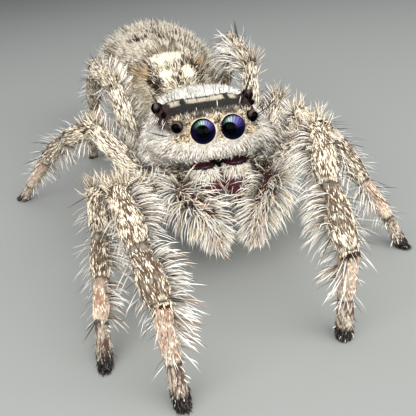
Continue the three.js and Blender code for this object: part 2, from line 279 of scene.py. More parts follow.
glanced = iris.nodes.new("ShaderNodeVectorMath")
glanced.operation = "SUBTRACT"
iris.links.new(iris_in.outputs["Place"], glanced.inputs[0])
iris.links.new(iris_in.outputs["Glance"], glanced.inputs[1])
from_middle, _ = length_and_bearing(iris_in.outputs["Place"])
from_pupil, bearing = length_and_bearing(glanced.outputs[0])
off_pupil = over_by(minus(from_pupil, iris_in.outputs["Pupil"]), PUPIL_EDGE, clamp=True)
ground = ramp_of(iris, from_middle, IRIS_RINGS)
ground = mix_of(iris, iris_in.outputs["Grey"], ground, DULL_GROUND)
ground = mix_of(iris, off_pupil, PUPIL_BLACK, ground)
# The striped fan round the top of the pupil is a painted reflection of the lamps.
bearing = minus(bearing, PAINTED_REFLECTION_MIDDLE)
off_middle = over_by(value_of(iris, "ABSOLUTE", bearing), PAINTED_REFLECTION_HALF_WIDTH)
painted_reflection = times(minus(1, off_middle, clamp=True), PAINTED_REFLECTION_RISE, clamp=True)
painted_reflection_outer = times(minus(PAINTED_REFLECTION_OUTSIDE, from_middle), PAINTED_REFLECTION_OUTER_RISE, clamp=True)
painted_reflection = times(painted_reflection, times(off_pupil, painted_reflection_outer))
stripes = value_of(iris, "SINE", times(bearing, PAINTED_REFLECTION_STRIPES))
stripes = plus(times(stripes, STRIPE_DEPTH), 1 - STRIPE_DEPTH)
painted_reflection = times(times(painted_reflection, stripes), iris_in.outputs["Shine"])
tint = ramp_of(iris, plus(over_by(bearing, 2 * PAINTED_REFLECTION_HALF_WIDTH), 0.5), PAINTED_REFLECTION_TINTS)
tint = mix_of(iris, iris_in.outputs["Grey"], tint, DULL_PAINTED_REFLECTION)
iris.links.new(mix_of(iris, painted_reflection, ground, tint), iris_out.inputs["Colour"])


def new_material(name, **settings):
    """A material with a Principled shader whose plain values are set on its own sockets."""
    material = bpy.data.materials.new(name)
    material.use_nodes = True
    shader = material.node_tree.nodes["Principled BSDF"]
    for label, value in settings.items():
        shader.inputs[label.replace("_", " ")].default_value = value
    return material, material.node_tree, shader


def place_group(tree, group, **values):
    """A shader node group placed in a material, with its own values."""
    node = tree.nodes.new("ShaderNodeGroup")
    node.node_tree = group
    for label, value in values.items():
        node.inputs[label].default_value = value
    return node


def object_place(tree):
    """The place on the piece, in metres."""
    return tree.nodes.new("ShaderNodeTexCoord").outputs["Object"]


def eye_glass(name, kind, side, centre, radius, axes):
    """The lens and iris of one eye, with a painted reflection, centred on it and turned to its
    gaze.
    """
    material, tree, shader = new_material(
        name, Roughness=0.4, Specular_IOR_Level=0.0, Coat_Weight=0.1, Coat_Roughness=0.02,
        Coat_IOR=1.3)
    inward = Matrix(axes.tolist())
    mapping = tree.nodes.new("ShaderNodeMapping")
    mapping.inputs["Location"].default_value = -(inward @ Vector(centre)) / radius
    mapping.inputs["Rotation"].default_value = inward.to_euler()
    mapping.inputs["Scale"].default_value = [1 / (radius * MM)] * 3
    tree.links.new(object_place(tree), mapping.inputs["Vector"])
    pattern = place_group(
        tree, iris, Glance=GLANCES[side] if kind == "front" else PLAIN_GLANCE,
        Pupil=EYE_PUPILS[kind], Shine=EYE_PAINTED_SHINES[kind], Grey=EYE_GREYS[kind])
    tree.links.new(mapping.outputs["Vector"], pattern.inputs["Place"])
    tree.links.new(pattern.outputs["Colour"], shader.inputs["Base Color"])
    return material


def eye_of(kind, side):
    """One eye: a lens that bulges a little towards its gaze."""
    centre, radius = ball_of(f"eye_{kind}_{side}")
    out, up = (math.radians(angle) for angle in EYE_GAZES[kind])
    level = math.cos(up)
    gaze = [SIDES[side] * math.sin(out) * level, -math.cos(out) * level, math.sin(up)] @ head_axes
    across = unit(np.cross([0, 0, 1], gaze))
    axes = np.array([across, np.cross(gaze, across), gaze])
    bpy.ops.object.select_all(action="DESELECT")
    bpy.ops.mesh.primitive_uv_sphere_add(
        segments=EYE_SEGMENTS, ring_count=EYE_SEGMENTS // 2, radius=radius)
    eye = bpy.context.active_object
    eye.name = f"lens_{kind}_{side}"
    bulge_start = BULGE_START * radius
    bpy.ops.object.mode_set(mode="EDIT")
    bpy.ops.mesh.select_mode(type="VERT")
    bpy.ops.mesh.select_all(action="DESELECT")
    bpy.ops.object.mode_set(mode="OBJECT")
    for vertex in eye.data.vertices:
        vertex.select = vertex.co.z > bulge_start
    bpy.ops.object.mode_set(mode="EDIT")
    bpy.ops.transform.resize(value=(1, 1, LENS_BULGE), center_override=(0, 0, bulge_start))
    bpy.ops.object.mode_set(mode="OBJECT")
    bpy.ops.object.shade_smooth()
    turn = Matrix(axes.T.tolist()).to_4x4()
    eye.data.transform(Matrix.Scale(MM, 4) @ Matrix.Translation(centre.tolist()) @ turn)
    eye.data.materials.append(eye_glass(eye.name, kind, side, centre, radius, axes))
    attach(eye, "root")
    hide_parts(f"eye_{kind}_{side}")
    return SimpleNamespace(kind=kind, centre=centre, radius=radius, gaze=gaze)


eyes = [eye_of(kind, side) for kind in EYE_GAZES for side in SIDES]

# ==== the skin =================================================================================
# One thin shell covers the head shield, waist, belly, palps and legs without a seam. It lies
# under the tips of the short hairs by the coat's depth, and rises into a rim round each eye.

SKIN_VOXEL = 0.078
OVERLAP = 0.05  # pieces are swollen by this before they are joined, which closes the cuts
MERGE = 0.002
COAT_DEPTHS = {
    "carapace": 0.08, "waist": 0.1, "abdomen": 0.15, "spinnerets": 0.07, "arm": 0.14, "tip": 0.2,
    "thigh": 0.06, "knee": 0.05, "shin": 0.05, "heel": 0.045, "foot": 0.03,
}
# How far in front of each eye's middle its rim stands, and how thick the rim is.
EYE_RIMS = {
    "front": (0.03, 0.032), "outer": (0.03, 0.04), "middle": (0.0, 0.05), "rear": (-0.06, 0.08)}
RIM_GAP = 0.02
flesh = [node for node in samples if not node.startswith(("eye", "jaw", "breast"))]


def joined_copies(nodes, title):
    """Copies of some nodes as one object in millimetres, with their loose triangles merged."""
    bpy.ops.object.select_all(action="DESELECT")
    for node in nodes:
        copy = bpy.data.objects.new(title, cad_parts[node].data.copy())
        bpy.context.scene.collection.objects.link(copy)
        copy.data.transform(Matrix.Scale(1 / MM, 4))
        copy.data.materials.clear()
        copy.select_set(True)
        bpy.context.view_layer.objects.active = copy
    bpy.ops.object.join()
    joined = bpy.context.active_object
    joined.name = title
    bpy.ops.object.mode_set(mode="EDIT")
    bpy.ops.mesh.select_all(action="SELECT")
    bpy.ops.mesh.remove_doubles(threshold=MERGE)
    bpy.ops.mesh.normals_make_consistent(inside=False)
    bpy.ops.object.mode_set(mode="OBJECT")
    return joined


def finish_with(piece, kind, **settings):
    """Adds a modifier to a piece and applies it."""
    bpy.context.view_layer.objects.active = piece
    modifier = piece.modifiers.new(kind.lower(), kind)
    for label, value in settings.items():
        setattr(modifier, label, value)
    bpy.ops.object.modifier_apply(modifier=modifier.name)


def soft_join(piece, voxel, rounds):
    """Swells a piece's parts into each other, melts them into one shell and smooths it."""
    finish_with(piece, "DISPLACE", strength=OVERLAP, mid_level=0)
    finish_with(piece, "REMESH", mode="VOXEL", voxel_size=voxel, use_smooth_shade=True)
    finish_with(piece, "SMOOTH", factor=0.5, iterations=rounds)


skin = joined_copies(flesh, "skin")
additions = [skin]
for eye in eyes:
    bpy.ops.mesh.primitive_ico_sphere_add(
        subdivisions=3, radius=eye.radius - OVERLAP, location=eye.centre.tolist())
    additions.append(bpy.context.active_object)  # a plug fills the eye's place
    forward, thickness = EYE_RIMS[eye.kind]
    rim_turn = Vector(eye.gaze.tolist()).to_track_quat("Z", "Y").to_euler()
    bpy.ops.mesh.primitive_torus_add(
        major_segments=40, minor_segments=10, major_radius=eye.radius + RIM_GAP,
        minor_radius=thickness, location=(eye.centre + eye.gaze * forward).tolist(),
        rotation=rim_turn)
    additions.append(bpy.context.active_object)
bpy.ops.object.select_all(action="DESELECT")
for addition in additions:
    addition.select_set(True)
bpy.context.view_layer.objects.active = skin
bpy.ops.object.join()
bpy.ops.object.transform_apply(location=True, rotation=True, scale=True)
soft_join(skin, SKIN_VOXEL, rounds=5)


def nearest_nodes(places, nodes):
    """The node of the solid model that lies nearest each place, as its number in nodes."""
    tree = KDTree(sum(len(samples[node]) for node in nodes))
    owners = []
    for number, node in enumerate(nodes):
        for point in samples[node]:
            tree.insert(point, len(owners))
            owners.append(number)
    tree.balance()
    return np.array(owners)[[tree.find(place)[1] for place in places]]


def surface_of(piece, nodes):
    """What hair needs to know of a piece in millimetres: places, normals, triangles and nodes."""
    places = places_of(piece.data)
    corners = triangles_of(piece.data)
    normals = np.empty(len(places) * 3, np.float32)
    piece.data.vertex_normals.foreach_get("vector", normals)
    owners = nearest_nodes(places, nodes)
    return SimpleNamespace(
        places=places, corners=corners, normals=normals.reshape(-1, 3).astype(float), nodes=nodes,
        owners=owners, areas=areas_of(places, corners), middles=places[corners].mean(1))


def depth_under(node):
    """How deep the skin lies under the tips of the coat on a node."""
    return COAT_DEPTHS.get(node, COAT_DEPTHS.get(node.rsplit("_", 1)[-1]))


def sink_surface(piece, surface, depths):
    """Moves a piece's vertices inwards, but not under the floor."""
    surface.places = surface.places - surface.normals * depths[:, None]
    surface.places[:, 2] = np.maximum(surface.places[:, 2], 0)
    piece.data.vertices.foreach_set("co", surface.places.ravel())
    piece.data.update()
    surface.middles = surface.places[surface.corners].mean(1)
    surface.facings = unit(surface.normals[surface.corners].mean(1))


hide = surface_of(skin, flesh)
sink_surface(skin, hide, np.array([depth_under(node) for node in flesh])[hide.owners] + OVERLAP)
hide.areas = areas_of(hide.places, hide.corners)
hide.kinds = np.array([node.split("_")[0] for node in flesh])[hide.owners]

# ==== the markings =============================================================================
# Skin and hair share one set of markings. Each place has a pale and a dark colour, and the share
# of its hairs that are dark, gathered into streaks and specks. The skin takes the mean of the two.
# Some of these marks are painted shade: the dark on the palps' flanks and arms and on the face over
# the jaws.

WHITE = paint(252, 247, 238)
LAVENDER = paint(255, 251, 243)
IVORY = paint(255, 246, 220)
FLEECE = paint(245, 234, 214)
CREAM = paint(244, 230, 202)
BISCUIT = paint(248, 226, 204)
OAT = paint(241, 228, 205)
PEARL = paint(238, 231, 213)
PEACH = paint(240, 212, 186)
STONE = paint(212, 202, 186)
TAN = paint(208, 176, 132)
SAND = paint(200, 162, 110)
ROSE = paint(172, 140, 122)
FOX = paint(176, 130, 104)
AMBER = paint(150, 98, 44)
FAWN = paint(160, 140, 122)
SLATE = paint(84, 78, 78)
ASH = paint(84, 79, 76)
GARNET = paint(88, 48, 39)
HAZEL = paint(92, 70, 52)
MAROON = paint(62, 30, 24)
BROWN = paint(66, 47, 32)
DRAB = paint(54, 48, 37)
UMBER = paint(48, 32, 24)
OLIVE = paint(30, 27, 20)
SOOT = paint(14, 11, 10)
LATTICE_SIZE = 64
lattice = dice.random((LATTICE_SIZE, LATTICE_SIZE))


def smooth_step(low, high, value):
    """0 up to low, 1 from high on, with a smooth change between."""
    share = np.clip((value - low) / (high - low), 0, 1)
    return share * share * (3 - 2 * share)


def blots(across, along):
    """Soft random values from 0 to 1 over a plane, in blots about one unit wide."""
    corner_across, corner_along = np.floor(across).astype(int), np.floor(along).astype(int)
    mix_across = smooth_step(0, 1, across - corner_across)
    mix_along = smooth_step(0, 1, along - corner_along)
    total = 0
    for step_across, weight_across in ((0, 1 - mix_across), (1, mix_across)):
        for step_along, weight_along in ((0, 1 - mix_along), (1, mix_along)):
            cell = lattice[(corner_across + step_across) % LATTICE_SIZE,
                           (corner_along + step_along) % LATTICE_SIZE]
            total = total + cell * weight_across * weight_along
    return np.clip((total - 0.5) * 1.5 + 0.5, 0, 1)


def gathered(share, pattern, softness=0.1):
    """A share of dark hairs, gathered to where a pattern of blots is low."""
    return smooth_step(-softness, softness, share - pattern)


def evenly(pale, dark, share):
    """Marks with the same two colours for each place in a list of shares of dark hairs."""
    return np.tile(pale, (len(share), 1)), np.tile(dark, (len(share), 1)), share


def over(marks, where, pale=None, dark=None, cleared=0, least=0):
    """Marks with both colours moved to new ones, and dark hairs cleared or added, by where."""
    *colours, share = marks
    where = np.asarray(where)
    for number, colour in enumerate((pale, dark)):
        if colour is not None:
            colours[number] = colours[number] + (colour - colours[number]) * where[:, None]
    return *colours, np.maximum(share * (1 - cleared * where), least * where)


# Values for each part of a leg, from the thigh to the foot.
LEG_PALES = np.array([FLEECE, OAT, OAT, BISCUIT, OAT])
LEG_DARKS = np.array([HAZEL, HAZEL, HAZEL, FOX, GARNET])
LEG_DARK_SHARES = np.array([0.4, 0.46, 0.6, 0.34, 0.58])
CLUMPING = np.array([0.55, 0.6, 0.55, 0.7, 0.9])  # how far the dark scales gather into streaks
LEG_STREAKS = np.array([13, 13, 11, 8.5, 6.5])  # streaks per radian round each part
STREAK_LENGTHS = np.array([0.2, 0.24, 0.17, 0.2, 0.26])
RING_WIDTH = 0.13  # the pale ring before each joint
LINE_WIDTH = 0.045  # the dark line on each joint
SMUDGE_START = (0.62, 0.74)  # how far along the knee its grey smudge begins
SOLE_START = (0.5, 0.8)  # how far along the foot it turns black


def on_limb(limb, places):
    """For each place: how far down and round the limb it is, and the limb's direction there."""
    starts = limb.points[:-1]
    steps = np.diff(limb.points, axis=0)
    offsets = places[:, None] - starts
    shares = np.clip((offsets * steps).sum(2) / (steps * steps).sum(1), 0, 1)
    gaps = np.linalg.norm(offsets - shares[..., None] * steps, axis=2)
    nearest = gaps.argmin(1)
    mix = shares[np.arange(len(places)), nearest]
    along = limb.along[nearest] + mix * np.diff(limb.along)[nearest]
    mix = mix[:, None]
    middle = starts[nearest] + mix * steps[nearest]
    direction = unit(limb.tangents[nearest] * (1 - mix) + limb.tangents[nearest + 1] * mix)
    beside = unit(np.cross(direction, [0.1, 0.1, 1.0]))
    above = np.cross(beside, direction)
    out = places - middle
    segment = np.searchsorted(limb.borders, along, side="right") - 1
    segment = np.clip(segment, 0, len(limb.nodes) - 1)
    behind = along - limb.borders[segment]
    ahead = limb.borders[segment + 1] - along
    return SimpleNamespace(
        along=along, around=np.arctan2((out * beside).sum(1), (out * above).sum(1)),
        direction=direction, segment=segment, behind=behind, ahead=ahead,
        fraction=np.clip(behind / (behind + ahead), 0, 1))


def leg_marks(spot, facing):
    """Cream with brown streaks on top, and a pale ring and a thin dark line at each joint."""
    part = spot.segment
    on_knee, on_foot = part == 1, part == 4
    upper = 0.5 + 0.5 * facing[:, 2]
    share = LEG_DARK_SHARES[part] * (0.45 + 0.65 * upper)
    streaks = blots(spot.around * LEG_STREAKS[part], spot.along / STREAK_LENGTHS[part])
    share = share + CLUMPING[part] * (gathered(share, streaks, 0.3) - share)
    smudge = smooth_step(*SMUDGE_START, spot.fraction) * on_knee * (spot.ahead > RING_WIDTH)
    smudge = smudge * gathered(0.45, blots(spot.around * 1.6 + 7.3, spot.along), 0.15)
    marks = over((LEG_PALES[part], LEG_DARKS[part], share), smudge, dark=SLATE, least=0.5)

    inner_joint = ~on_foot & (spot.along > 2)
    ring = (spot.ahead < RING_WIDTH) & inner_joint
    marks = over(marks, ring * 0.6, CREAM)
    marks = over(marks, ring, cleared=0.85)
    line_ahead = (spot.ahead < LINE_WIDTH) & ~on_foot
    line_behind = (spot.behind < LINE_WIDTH) & (part > 0)
    line = (line_ahead | line_behind) & (inner_joint | on_foot)
    marks = over(marks, line, dark=UMBER, cleared=1, least=0.9)
    sole = smooth_step(*SOLE_START, spot.fraction) * on_foot
    pale, dark, share = over(marks, sole, dark=SOOT)
    return pale, dark, np.maximum(share, gathered(1.2 * sole, streaks, 0.3))


PALP_STREAKS = 13
PALP_CORE = paint(154, 118, 98)
# Painted shade on the flanks of each palp.
PALP_FLANK_PAINTED_SHADE = paint(62, 44, 38)


def palp_marks(spot, facing):
    """Cream, with a pinkish tan core whose flanks are painted dark as shade, and an arm painted
    maroon as shade under the face.
    """
    front = np.clip(-facing[:, 1], 0, 1)
    flank = smooth_step(0.45, 0.75, np.abs(facing[:, 0]))
    arm = 1.0 * (spot.segment == 0)
    streaks = blots(spot.around * PALP_STREAKS, spot.along / 0.3)
    marks = evenly(CREAM, PALP_CORE, gathered(0.28 + 0.16 * front, streaks, 0.3))
    marks = over(marks, 0.5 * front, PEACH)
    # Painted shade: the flanks are painted dark.
    marks = over(marks, flank, dark=PALP_FLANK_PAINTED_SHADE, least=0.8)
    # Painted shade: the arm under the face is painted fawn and dark maroon.
    marks = over(marks, 0.6 * arm, FAWN)
    return over(marks, arm, dark=MAROON, least=0.75)


# How far back from the front eyes each band of the crown begins, and where the last one ends.
CROWN_BANDS = SimpleNamespace(gold=0.36, black=1.74, patches=2.3, line=2.42, white=3.7)
CROWN_BOW = 0.3  # how far the bands run back towards the sides
CROWN_SIDE = (1.66, 1.84)  # how far out the crown's bands end
CROWN_PATCHES = ((0.02, 0.69), (-1.03, 0.18), (1.17, 0.18))  # middle and half width
PATCH_EDGE = 0.13  # the amber front edge of each patch
LIP_EDGE = -0.93  # height below which the face is painted dark, a painted shade over the jaws
# Round each eye: how wide, then the new pale and dark colours and how dark hairs are changed.
EYE_SURROUNDS = {
    "front": (-0.02, CREAM, None, 1, 0), "outer": (0.06, None, SLATE, 0, 0.6),
    "middle": (0.2, None, MAROON, 0, 0.85), "rear": (0.2, None, MAROON, 0, 0.85),
}


def to_head(places):
    """Places measured from between the big front eyes: across, back and up."""
    return (places - brow) @ head_axes.T


def crown_back(across, back):
    """How far back a place is, measured along the bowed bands of the crown."""
    return back - CROWN_BOW * np.minimum(np.abs(across), 1.7) ** 2


def head_marks(places, facing):
    """White face, golden specks between the eyes, a black crown band and a bright one behind it."""
    across, back, up = to_head(places).T
    aside = np.abs(across)
    banded = crown_back(across, back)
    steep = facing[:, 2]
    inside = 1 - smooth_step(*CROWN_SIDE, aside)
    crown = smooth_step(0.3, 0.5, steep) * inside
    brink = smooth_step(0.12, 0.5, steep) * smooth_step(0.3, 0.5, up) * inside
    specks = blots(across / 0.05, (back + up) / 0.06)
    rear = smooth_step(CROWN_BANDS.white - 0.3, CROWN_BANDS.white + 0.3, back)

    gold = smooth_step(-0.42, -0.1, up) * (1 - smooth_step(1.3, 1.55, aside)) * (1 - 0.8 * brink)
    gold = gold * (1 - smooth_step(CROWN_BANDS.gold, CROWN_BANDS.gold + 0.2, banded))
    marks = over(evenly(WHITE, STONE, 0.2 + 0.3 * gold), rear * 0.4, STONE)
    marks = over(marks, gold * 0.9, CREAM)
    marks = over(marks, gold, dark=SAND)
    marks = over(marks, gold * gathered(0.46, specks), dark=UMBER, least=0.9)

    black = 1.3 * smooth_step(CROWN_BANDS.gold - 0.15, CROWN_BANDS.gold + 0.25, banded)
    black = np.maximum(crown * gathered(black, specks, 0.2), 0.85 * gathered(brink, specks, 0.3))
    marks = over(marks, black * (banded < CROWN_BANDS.line), DRAB, OLIVE, 1, 0.9)
    temple = smooth_step(1.28, 1.45, aside) * (1 - smooth_step(1.9, 2.05, aside))
    temple = temple * smooth_step(-0.12, 0.1, up) * (back > 0.5) * (back < 2.5)
    marks = over(marks, temple, dark=MAROON, cleared=1, least=0.85)
    marks = over(marks, temple * (across > 0), dark=SOOT)
    marks = over(marks, temple * 0.8, DRAB)

    patch = np.any([np.abs(across - middle) < width for middle, width in CROWN_PATCHES], axis=0)
    patch = patch * (banded > CROWN_BANDS.black) * (banded < CROWN_BANDS.patches) * crown
    marks = over(marks, patch, IVORY, cleared=1)
    patch_edge = patch * (banded < CROWN_BANDS.black + PATCH_EDGE)
    marks = over(marks, patch_edge, dark=AMBER, least=0.7)
    band = crown * (banded > CROWN_BANDS.line) * (1 - rear)
    marks = over(marks, band, LAVENDER, cleared=0.9)
    for eye in eyes:
        gap = np.linalg.norm(places - eye.centre, axis=1) - eye.radius
        reach, *changes = EYE_SURROUNDS[eye.kind]
        marks = over(marks, 1 - smooth_step(reach, reach + 0.08, gap), *changes)
    # Painted shade: the face under the lip's edge is painted maroon and black.
    lip = (1 - smooth_step(LIP_EDGE - 0.04, LIP_EDGE, up)) * (back < 1.1) * (aside < 2.2)
    pale, dark, share = over(marks, lip, MAROON, SOOT, least=0.7)
    return pale, dark, np.clip(share, 0, 1)


# The belly is swung about the waist. Its marks are placed as though it lay straight.
BELLY_SWING = math.radians(12)
BELLY_PIVOT = 6.33
BELLY_PALE = paint(228, 218, 200)
BELLY_DARK = paint(138, 124, 106)
SPOT_BOW = 0.3  # how far the rows of spots run back towards the sides
# Spots on the belly: kind, middle across and back from the front eyes, half width, half length.
BELLY_SPOTS = [
    ("brown", -0.1, 7.12, 1.15, 0.5), ("white", -0.3, 7.5, 0.72, 0.25),
    ("cream", -0.54, 6.88, 0.25, 0.15), ("cream", 0.34, 6.9, 0.24, 0.17),
    ("black", -1.05, 6.74, 0.24, 0.18), ("black", 0.9, 6.74, 0.24, 0.16),
    ("black", -0.12, 6.84, 0.07, 0.16), ("tan", -1.5, 7.08, 0.36, 0.28),
    ("tan", 1.12, 6.98, 0.26, 0.22), ("black", 0.0, 9.3, 0.24, 0.7),
    ("black", 0.0, 13.2, 0.5, 0.36),
]
# The later spots come in pairs: kind, how far out, how far back, half width, half length.
SPOT_PAIRS = [
    ("white", 0.85, 10.2, 0.34, 0.26), ("white", 0.72, 12.0, 0.26, 0.2),
    ("black", 0.9, 9.4, 0.5, 0.3), ("black", 0.8, 11.2, 0.42, 0.28),
]
for kind, x, *sizes in SPOT_PAIRS:
    BELLY_SPOTS += [(kind, -x, *sizes), (kind, x, *sizes)]
# Each kind's new pale and dark colours, and how it changes the dark hairs.
SPOT_CHANGES = {
    "brown": (None, BROWN, 0, 0.3), "white": (PEARL, None, 1, 0), "cream": (IVORY, None, 1, 0),
    "tan": (TAN, None, 0.6, 0), "black": (None, UMBER, 0, 0.85),
}


def to_belly(places):
    """Across and back along the belly's own middle line, from the front eyes, and up."""
    across, back, up = (places - brow - [0, BELLY_PIVOT, 0]).T
    cosine, sine = math.cos(BELLY_SWING), math.sin(BELLY_SWING)
    return np.column_stack([
        cosine * across + sine * back, cosine * back - sine * across + BELLY_PIVOT, up])


def in_oval(places, centre, half_width, half_length):
    """1 inside an oval patch seen from above, falling off just outside it."""
    aside = np.abs(places[:, 0] - centre[0]) / half_width
    endwise = np.abs(places[:, 1] - centre[1]) / half_length
    return 1 - smooth_step(0.75, 1.2, aside ** 3 + endwise ** 3)


def belly_spots(places, facing, kinds):
    """1 inside the belly's spots of some kinds, 0 outside."""
    seen = to_belly(places)
    seen[:, 1] -= SPOT_BOW * np.minimum(np.abs(seen[:, 0]), 1.6) ** 2
    inside = np.zeros(len(places))
    for kind, x, y, half_width, half_length in BELLY_SPOTS:
        if kind in kinds:
            middle = (x, y - SPOT_BOW * x ** 2 * (y > 8))
            inside = np.maximum(inside, in_oval(seen, middle, half_width, half_length))
    return inside * smooth_step(0.0, 0.3, facing[:, 2])


def belly_marks(places, facing):
    """Pale grey with a darker mottle above, a white bar and spots, and a pale girdle in front."""
    seen = to_belly(places)
    girdle = 1 - smooth_step(6.6, 7.8, seen[:, 1] - 0.25 * np.abs(seen[:, 0]))
    share = (0.16 + 0.24 * smooth_step(-0.2, 0.7, facing[:, 2])) * (1 - 0.6 * girdle)
    share = gathered(share, blots(seen[:, 0] / 0.3, seen[:, 1] / 0.4), 0.35)
    marks = over(evenly(BELLY_PALE, BELLY_DARK, share), girdle * 0.7, CREAM)
    for kind, changes in SPOT_CHANGES.items():
        marks = over(marks, belly_spots(places, facing, (kind,)), *changes)
    return marks


def owned_by(limb, owners):
    """Which of some owners are nodes of a limb."""
    return np.isin(owners, [flesh.index(node) for node in limb.nodes])


def marks_of_skin():
    """The marks at each vertex of the skin."""
    pale, dark, share = evenly(STONE, BROWN, np.full(len(hide.places), 0.3))
    for kind, marks in (("carapace", head_marks), ("abdomen", belly_marks)):
        here = hide.kinds == kind
        pale[here], dark[here], share[here] = marks(hide.places[here], hide.normals[here])
    for name, limb in limbs.items():
        here = owned_by(limb, hide.owners)
        marks = leg_marks if name.startswith("leg") else palp_marks
        spot = on_limb(limb, hide.places[here])
        pale[here], dark[here], share[here] = marks(spot, hide.normals[here])
    return pale, dark, share[:, None]


def set_colours(mesh, name, colours):
    """Stores a colour for each of a mesh's vertices."""
    attribute = mesh.color_attributes.new(name, "FLOAT_COLOR", "POINT")
    values = np.column_stack([colours, np.ones(len(colours))])
    attribute.data.foreach_set("color", values.ravel())


# The look of the skin: the markings, darkened by a painted shade under the hairs, with a fine nap.
UNDER_HAIR_PAINTED_SHADE = 0.42
EYELID_PAINTED_SHADE = 0.85  # a lighter painted shade on the skin close round the big front eyes
EYELID_EDGE = (0.02, 0.05)
SKIN_NAP = 14000
NAP_RELIEF = 0.03

nap, nap_in, nap_out = new_group(
    "nap", [("Place", "vector"), ("Scale", "float"), ("Depth", "float")],
    [("Shade", "float"), ("Height", "float")])
nap_noise = nap.nodes.new("ShaderNodeTexNoise")
nap_noise.inputs["Detail"].default_value = 3
nap_noise.inputs["Roughness"].default_value = 0.65
nap.links.new(nap_in.outputs["Place"], nap_noise.inputs["Vector"])
nap.links.new(nap_in.outputs["Scale"], nap_noise.inputs["Scale"])
nap.links.new(nap_noise.outputs[0], nap_out.inputs["Height"])
nap_shade = value_of(nap, "SUBTRACT", nap_noise.outputs[0], 0.5)
nap_shade = value_of(nap, "MULTIPLY", nap_shade, nap_in.outputs["Depth"])
nap.links.new(value_of(nap, "ADD", nap_shade, 1), nap_out.inputs["Shade"])


def nap_on(tree, scale, depth):
    """The nap placed in a material, on the piece's own places."""
    texture = place_group(tree, nap, Scale=scale, Depth=depth)
    tree.links.new(object_place(tree), texture.inputs["Place"])
    return texture


def add_relief(tree, texture, strength, distance):
    """Lets a texture's height stand out of a material. The distance is in millimetres."""
    relief = tree.nodes.new("ShaderNodeBump")
    relief.inputs["Strength"].default_value = strength
    relief.inputs["Distance"].default_value = distance * MM
    tree.links.new(texture.outputs["Height"], relief.inputs["Height"])
    tree.links.new(relief.outputs["Normal"], tree.nodes["Principled BSDF"].inputs["Normal"])


def painted_material(name, attribute, scale, depth, **settings):
    """A material that takes its colour from an attribute, shaded by the nap."""
    material, tree, shader = new_material(name, **settings)
    colour = tree.nodes.new("ShaderNodeAttribute")
    colour.attribute_name = attribute
    texture = nap_on(tree, scale, depth)
    shaded = tree.nodes.new("ShaderNodeVectorMath")
    shaded.operation = "SCALE"
    tree.links.new(colour.outputs["Color"], shaded.inputs[0])
    tree.links.new(texture.outputs["Shade"], shaded.inputs["Scale"])
    tree.links.new(shaded.outputs[0], shader.inputs["Base Color"])
    return material, tree, texture


skin_pale, skin_dark, skin_share = marks_of_skin()
# Painted shade: the skin is painted darker under its hairs, less so close round the big front eyes.
skin_painted_shade = np.full(len(hide.places), UNDER_HAIR_PAINTED_SHADE)
for eye in eyes[:2]:
    gap = np.linalg.norm(hide.places - eye.centre, axis=1) - eye.radius
    skin_painted_shade = np.maximum(skin_painted_shade, EYELID_PAINTED_SHADE * (1 - smooth_step(*EYELID_EDGE, gap)))
skin_colours = skin_pale + (skin_dark - skin_pale) * skin_share
set_colours(skin.data, "marking_and_painted_shade", skin_colours * skin_painted_shade[:, None])
skin.data.materials.clear()
skin_material, skin_tree, skin_nap = painted_material(
    "skin", "marking_and_painted_shade", SKIN_NAP, 0.7, Roughness=0.75, Specular_IOR_Level=0.3)
add_relief(skin_tree, skin_nap, 0.6, NAP_RELIEF)
skin.data.materials.append(skin_material)
skin.data.transform(Matrix.Scale(MM, 4))
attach(skin, "root")
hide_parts(*flesh)

# ==== the jaws =================================================================================
# Two stout jaws of hard wine-red shell hang under the face. They are set into the head above and
# covered with white hair over their upper third.

JAW_VOXEL = 0.05
JAW_SKIN = 0.06  # how deep the shell lies under the solid model's face
JAW_NECK = -1.22  # height above which the jaws are painted dark, a painted shade where they meet the face
JAW_NECK_BLEND = 0.1
JAW_NAP = 3000
JAW_RELIEF = 0.02
# The dark at the jaws' neck is a painted shade under the face.
NECK_PAINTED_SHADE = paint(15, 6, 7)
WINE = [(0.0, paint(30, 8, 12)), (0.45, paint(88, 28, 38)), (0.75, paint(106, 42, 62)),
        (1.0, paint(68, 42, 88))]
jaw_nodes = ["jaw_left", "jaw_right"]
jaws = joined_copies(jaw_nodes, "jaws")
soft_join(jaws, JAW_VOXEL, rounds=4)
jaw_shell = surface_of(jaws, jaw_nodes)
sink_surface(jaws, jaw_shell, np.full(len(jaw_shell.places), OVERLAP + JAW_SKIN))


def jaw_lacquer():
    """Glossy shell that turns from wine red to violet towards its edges, painted dark at the neck
    as shade.
    """
    material, tree, shader = new_material(
        "jaw_shell", Roughness=0.32, Coat_Weight=0.4, Coat_Roughness=0.2)
    edge = tree.nodes.new("ShaderNodeLayerWeight")
    edge.inputs["Blend"].default_value = 0.35
    texture = nap_on(tree, JAW_NAP, 0.6)
    cloud = value_of(tree, "MULTIPLY", texture.outputs["Height"], 0.35)
    turn = value_of(tree, "ADD", edge.outputs["Facing"], cloud)
    height = tree.nodes.new("ShaderNodeSeparateXYZ")
    tree.links.new(object_place(tree), height.inputs["Vector"])
    neck = (brow + np.array([0.0, 0.4, JAW_NECK]) @ head_axes)[2]
    above = value_of(tree, "SUBTRACT", height.outputs["Z"], neck * MM)
    above = value_of(tree, "DIVIDE", above, JAW_NECK_BLEND * MM, clamp=True)
    colour = mix_of(tree, above, ramp_of(tree, turn, WINE), NECK_PAINTED_SHADE)
    tree.links.new(colour, shader.inputs["Base Color"])
    add_relief(tree, texture, 0.15, JAW_RELIEF)
    return material


jaws.data.materials.append(jaw_lacquer())
jaws.data.transform(Matrix.Scale(MM, 4))
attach(jaws, "root")
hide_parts(*jaw_nodes)

# ==== fangs and claws ==========================================================================
# A curved horn of dark shell is hinged under each jaw and folded inwards across its end. Two
# small hooks of the same shell stick out of the end of every foot.

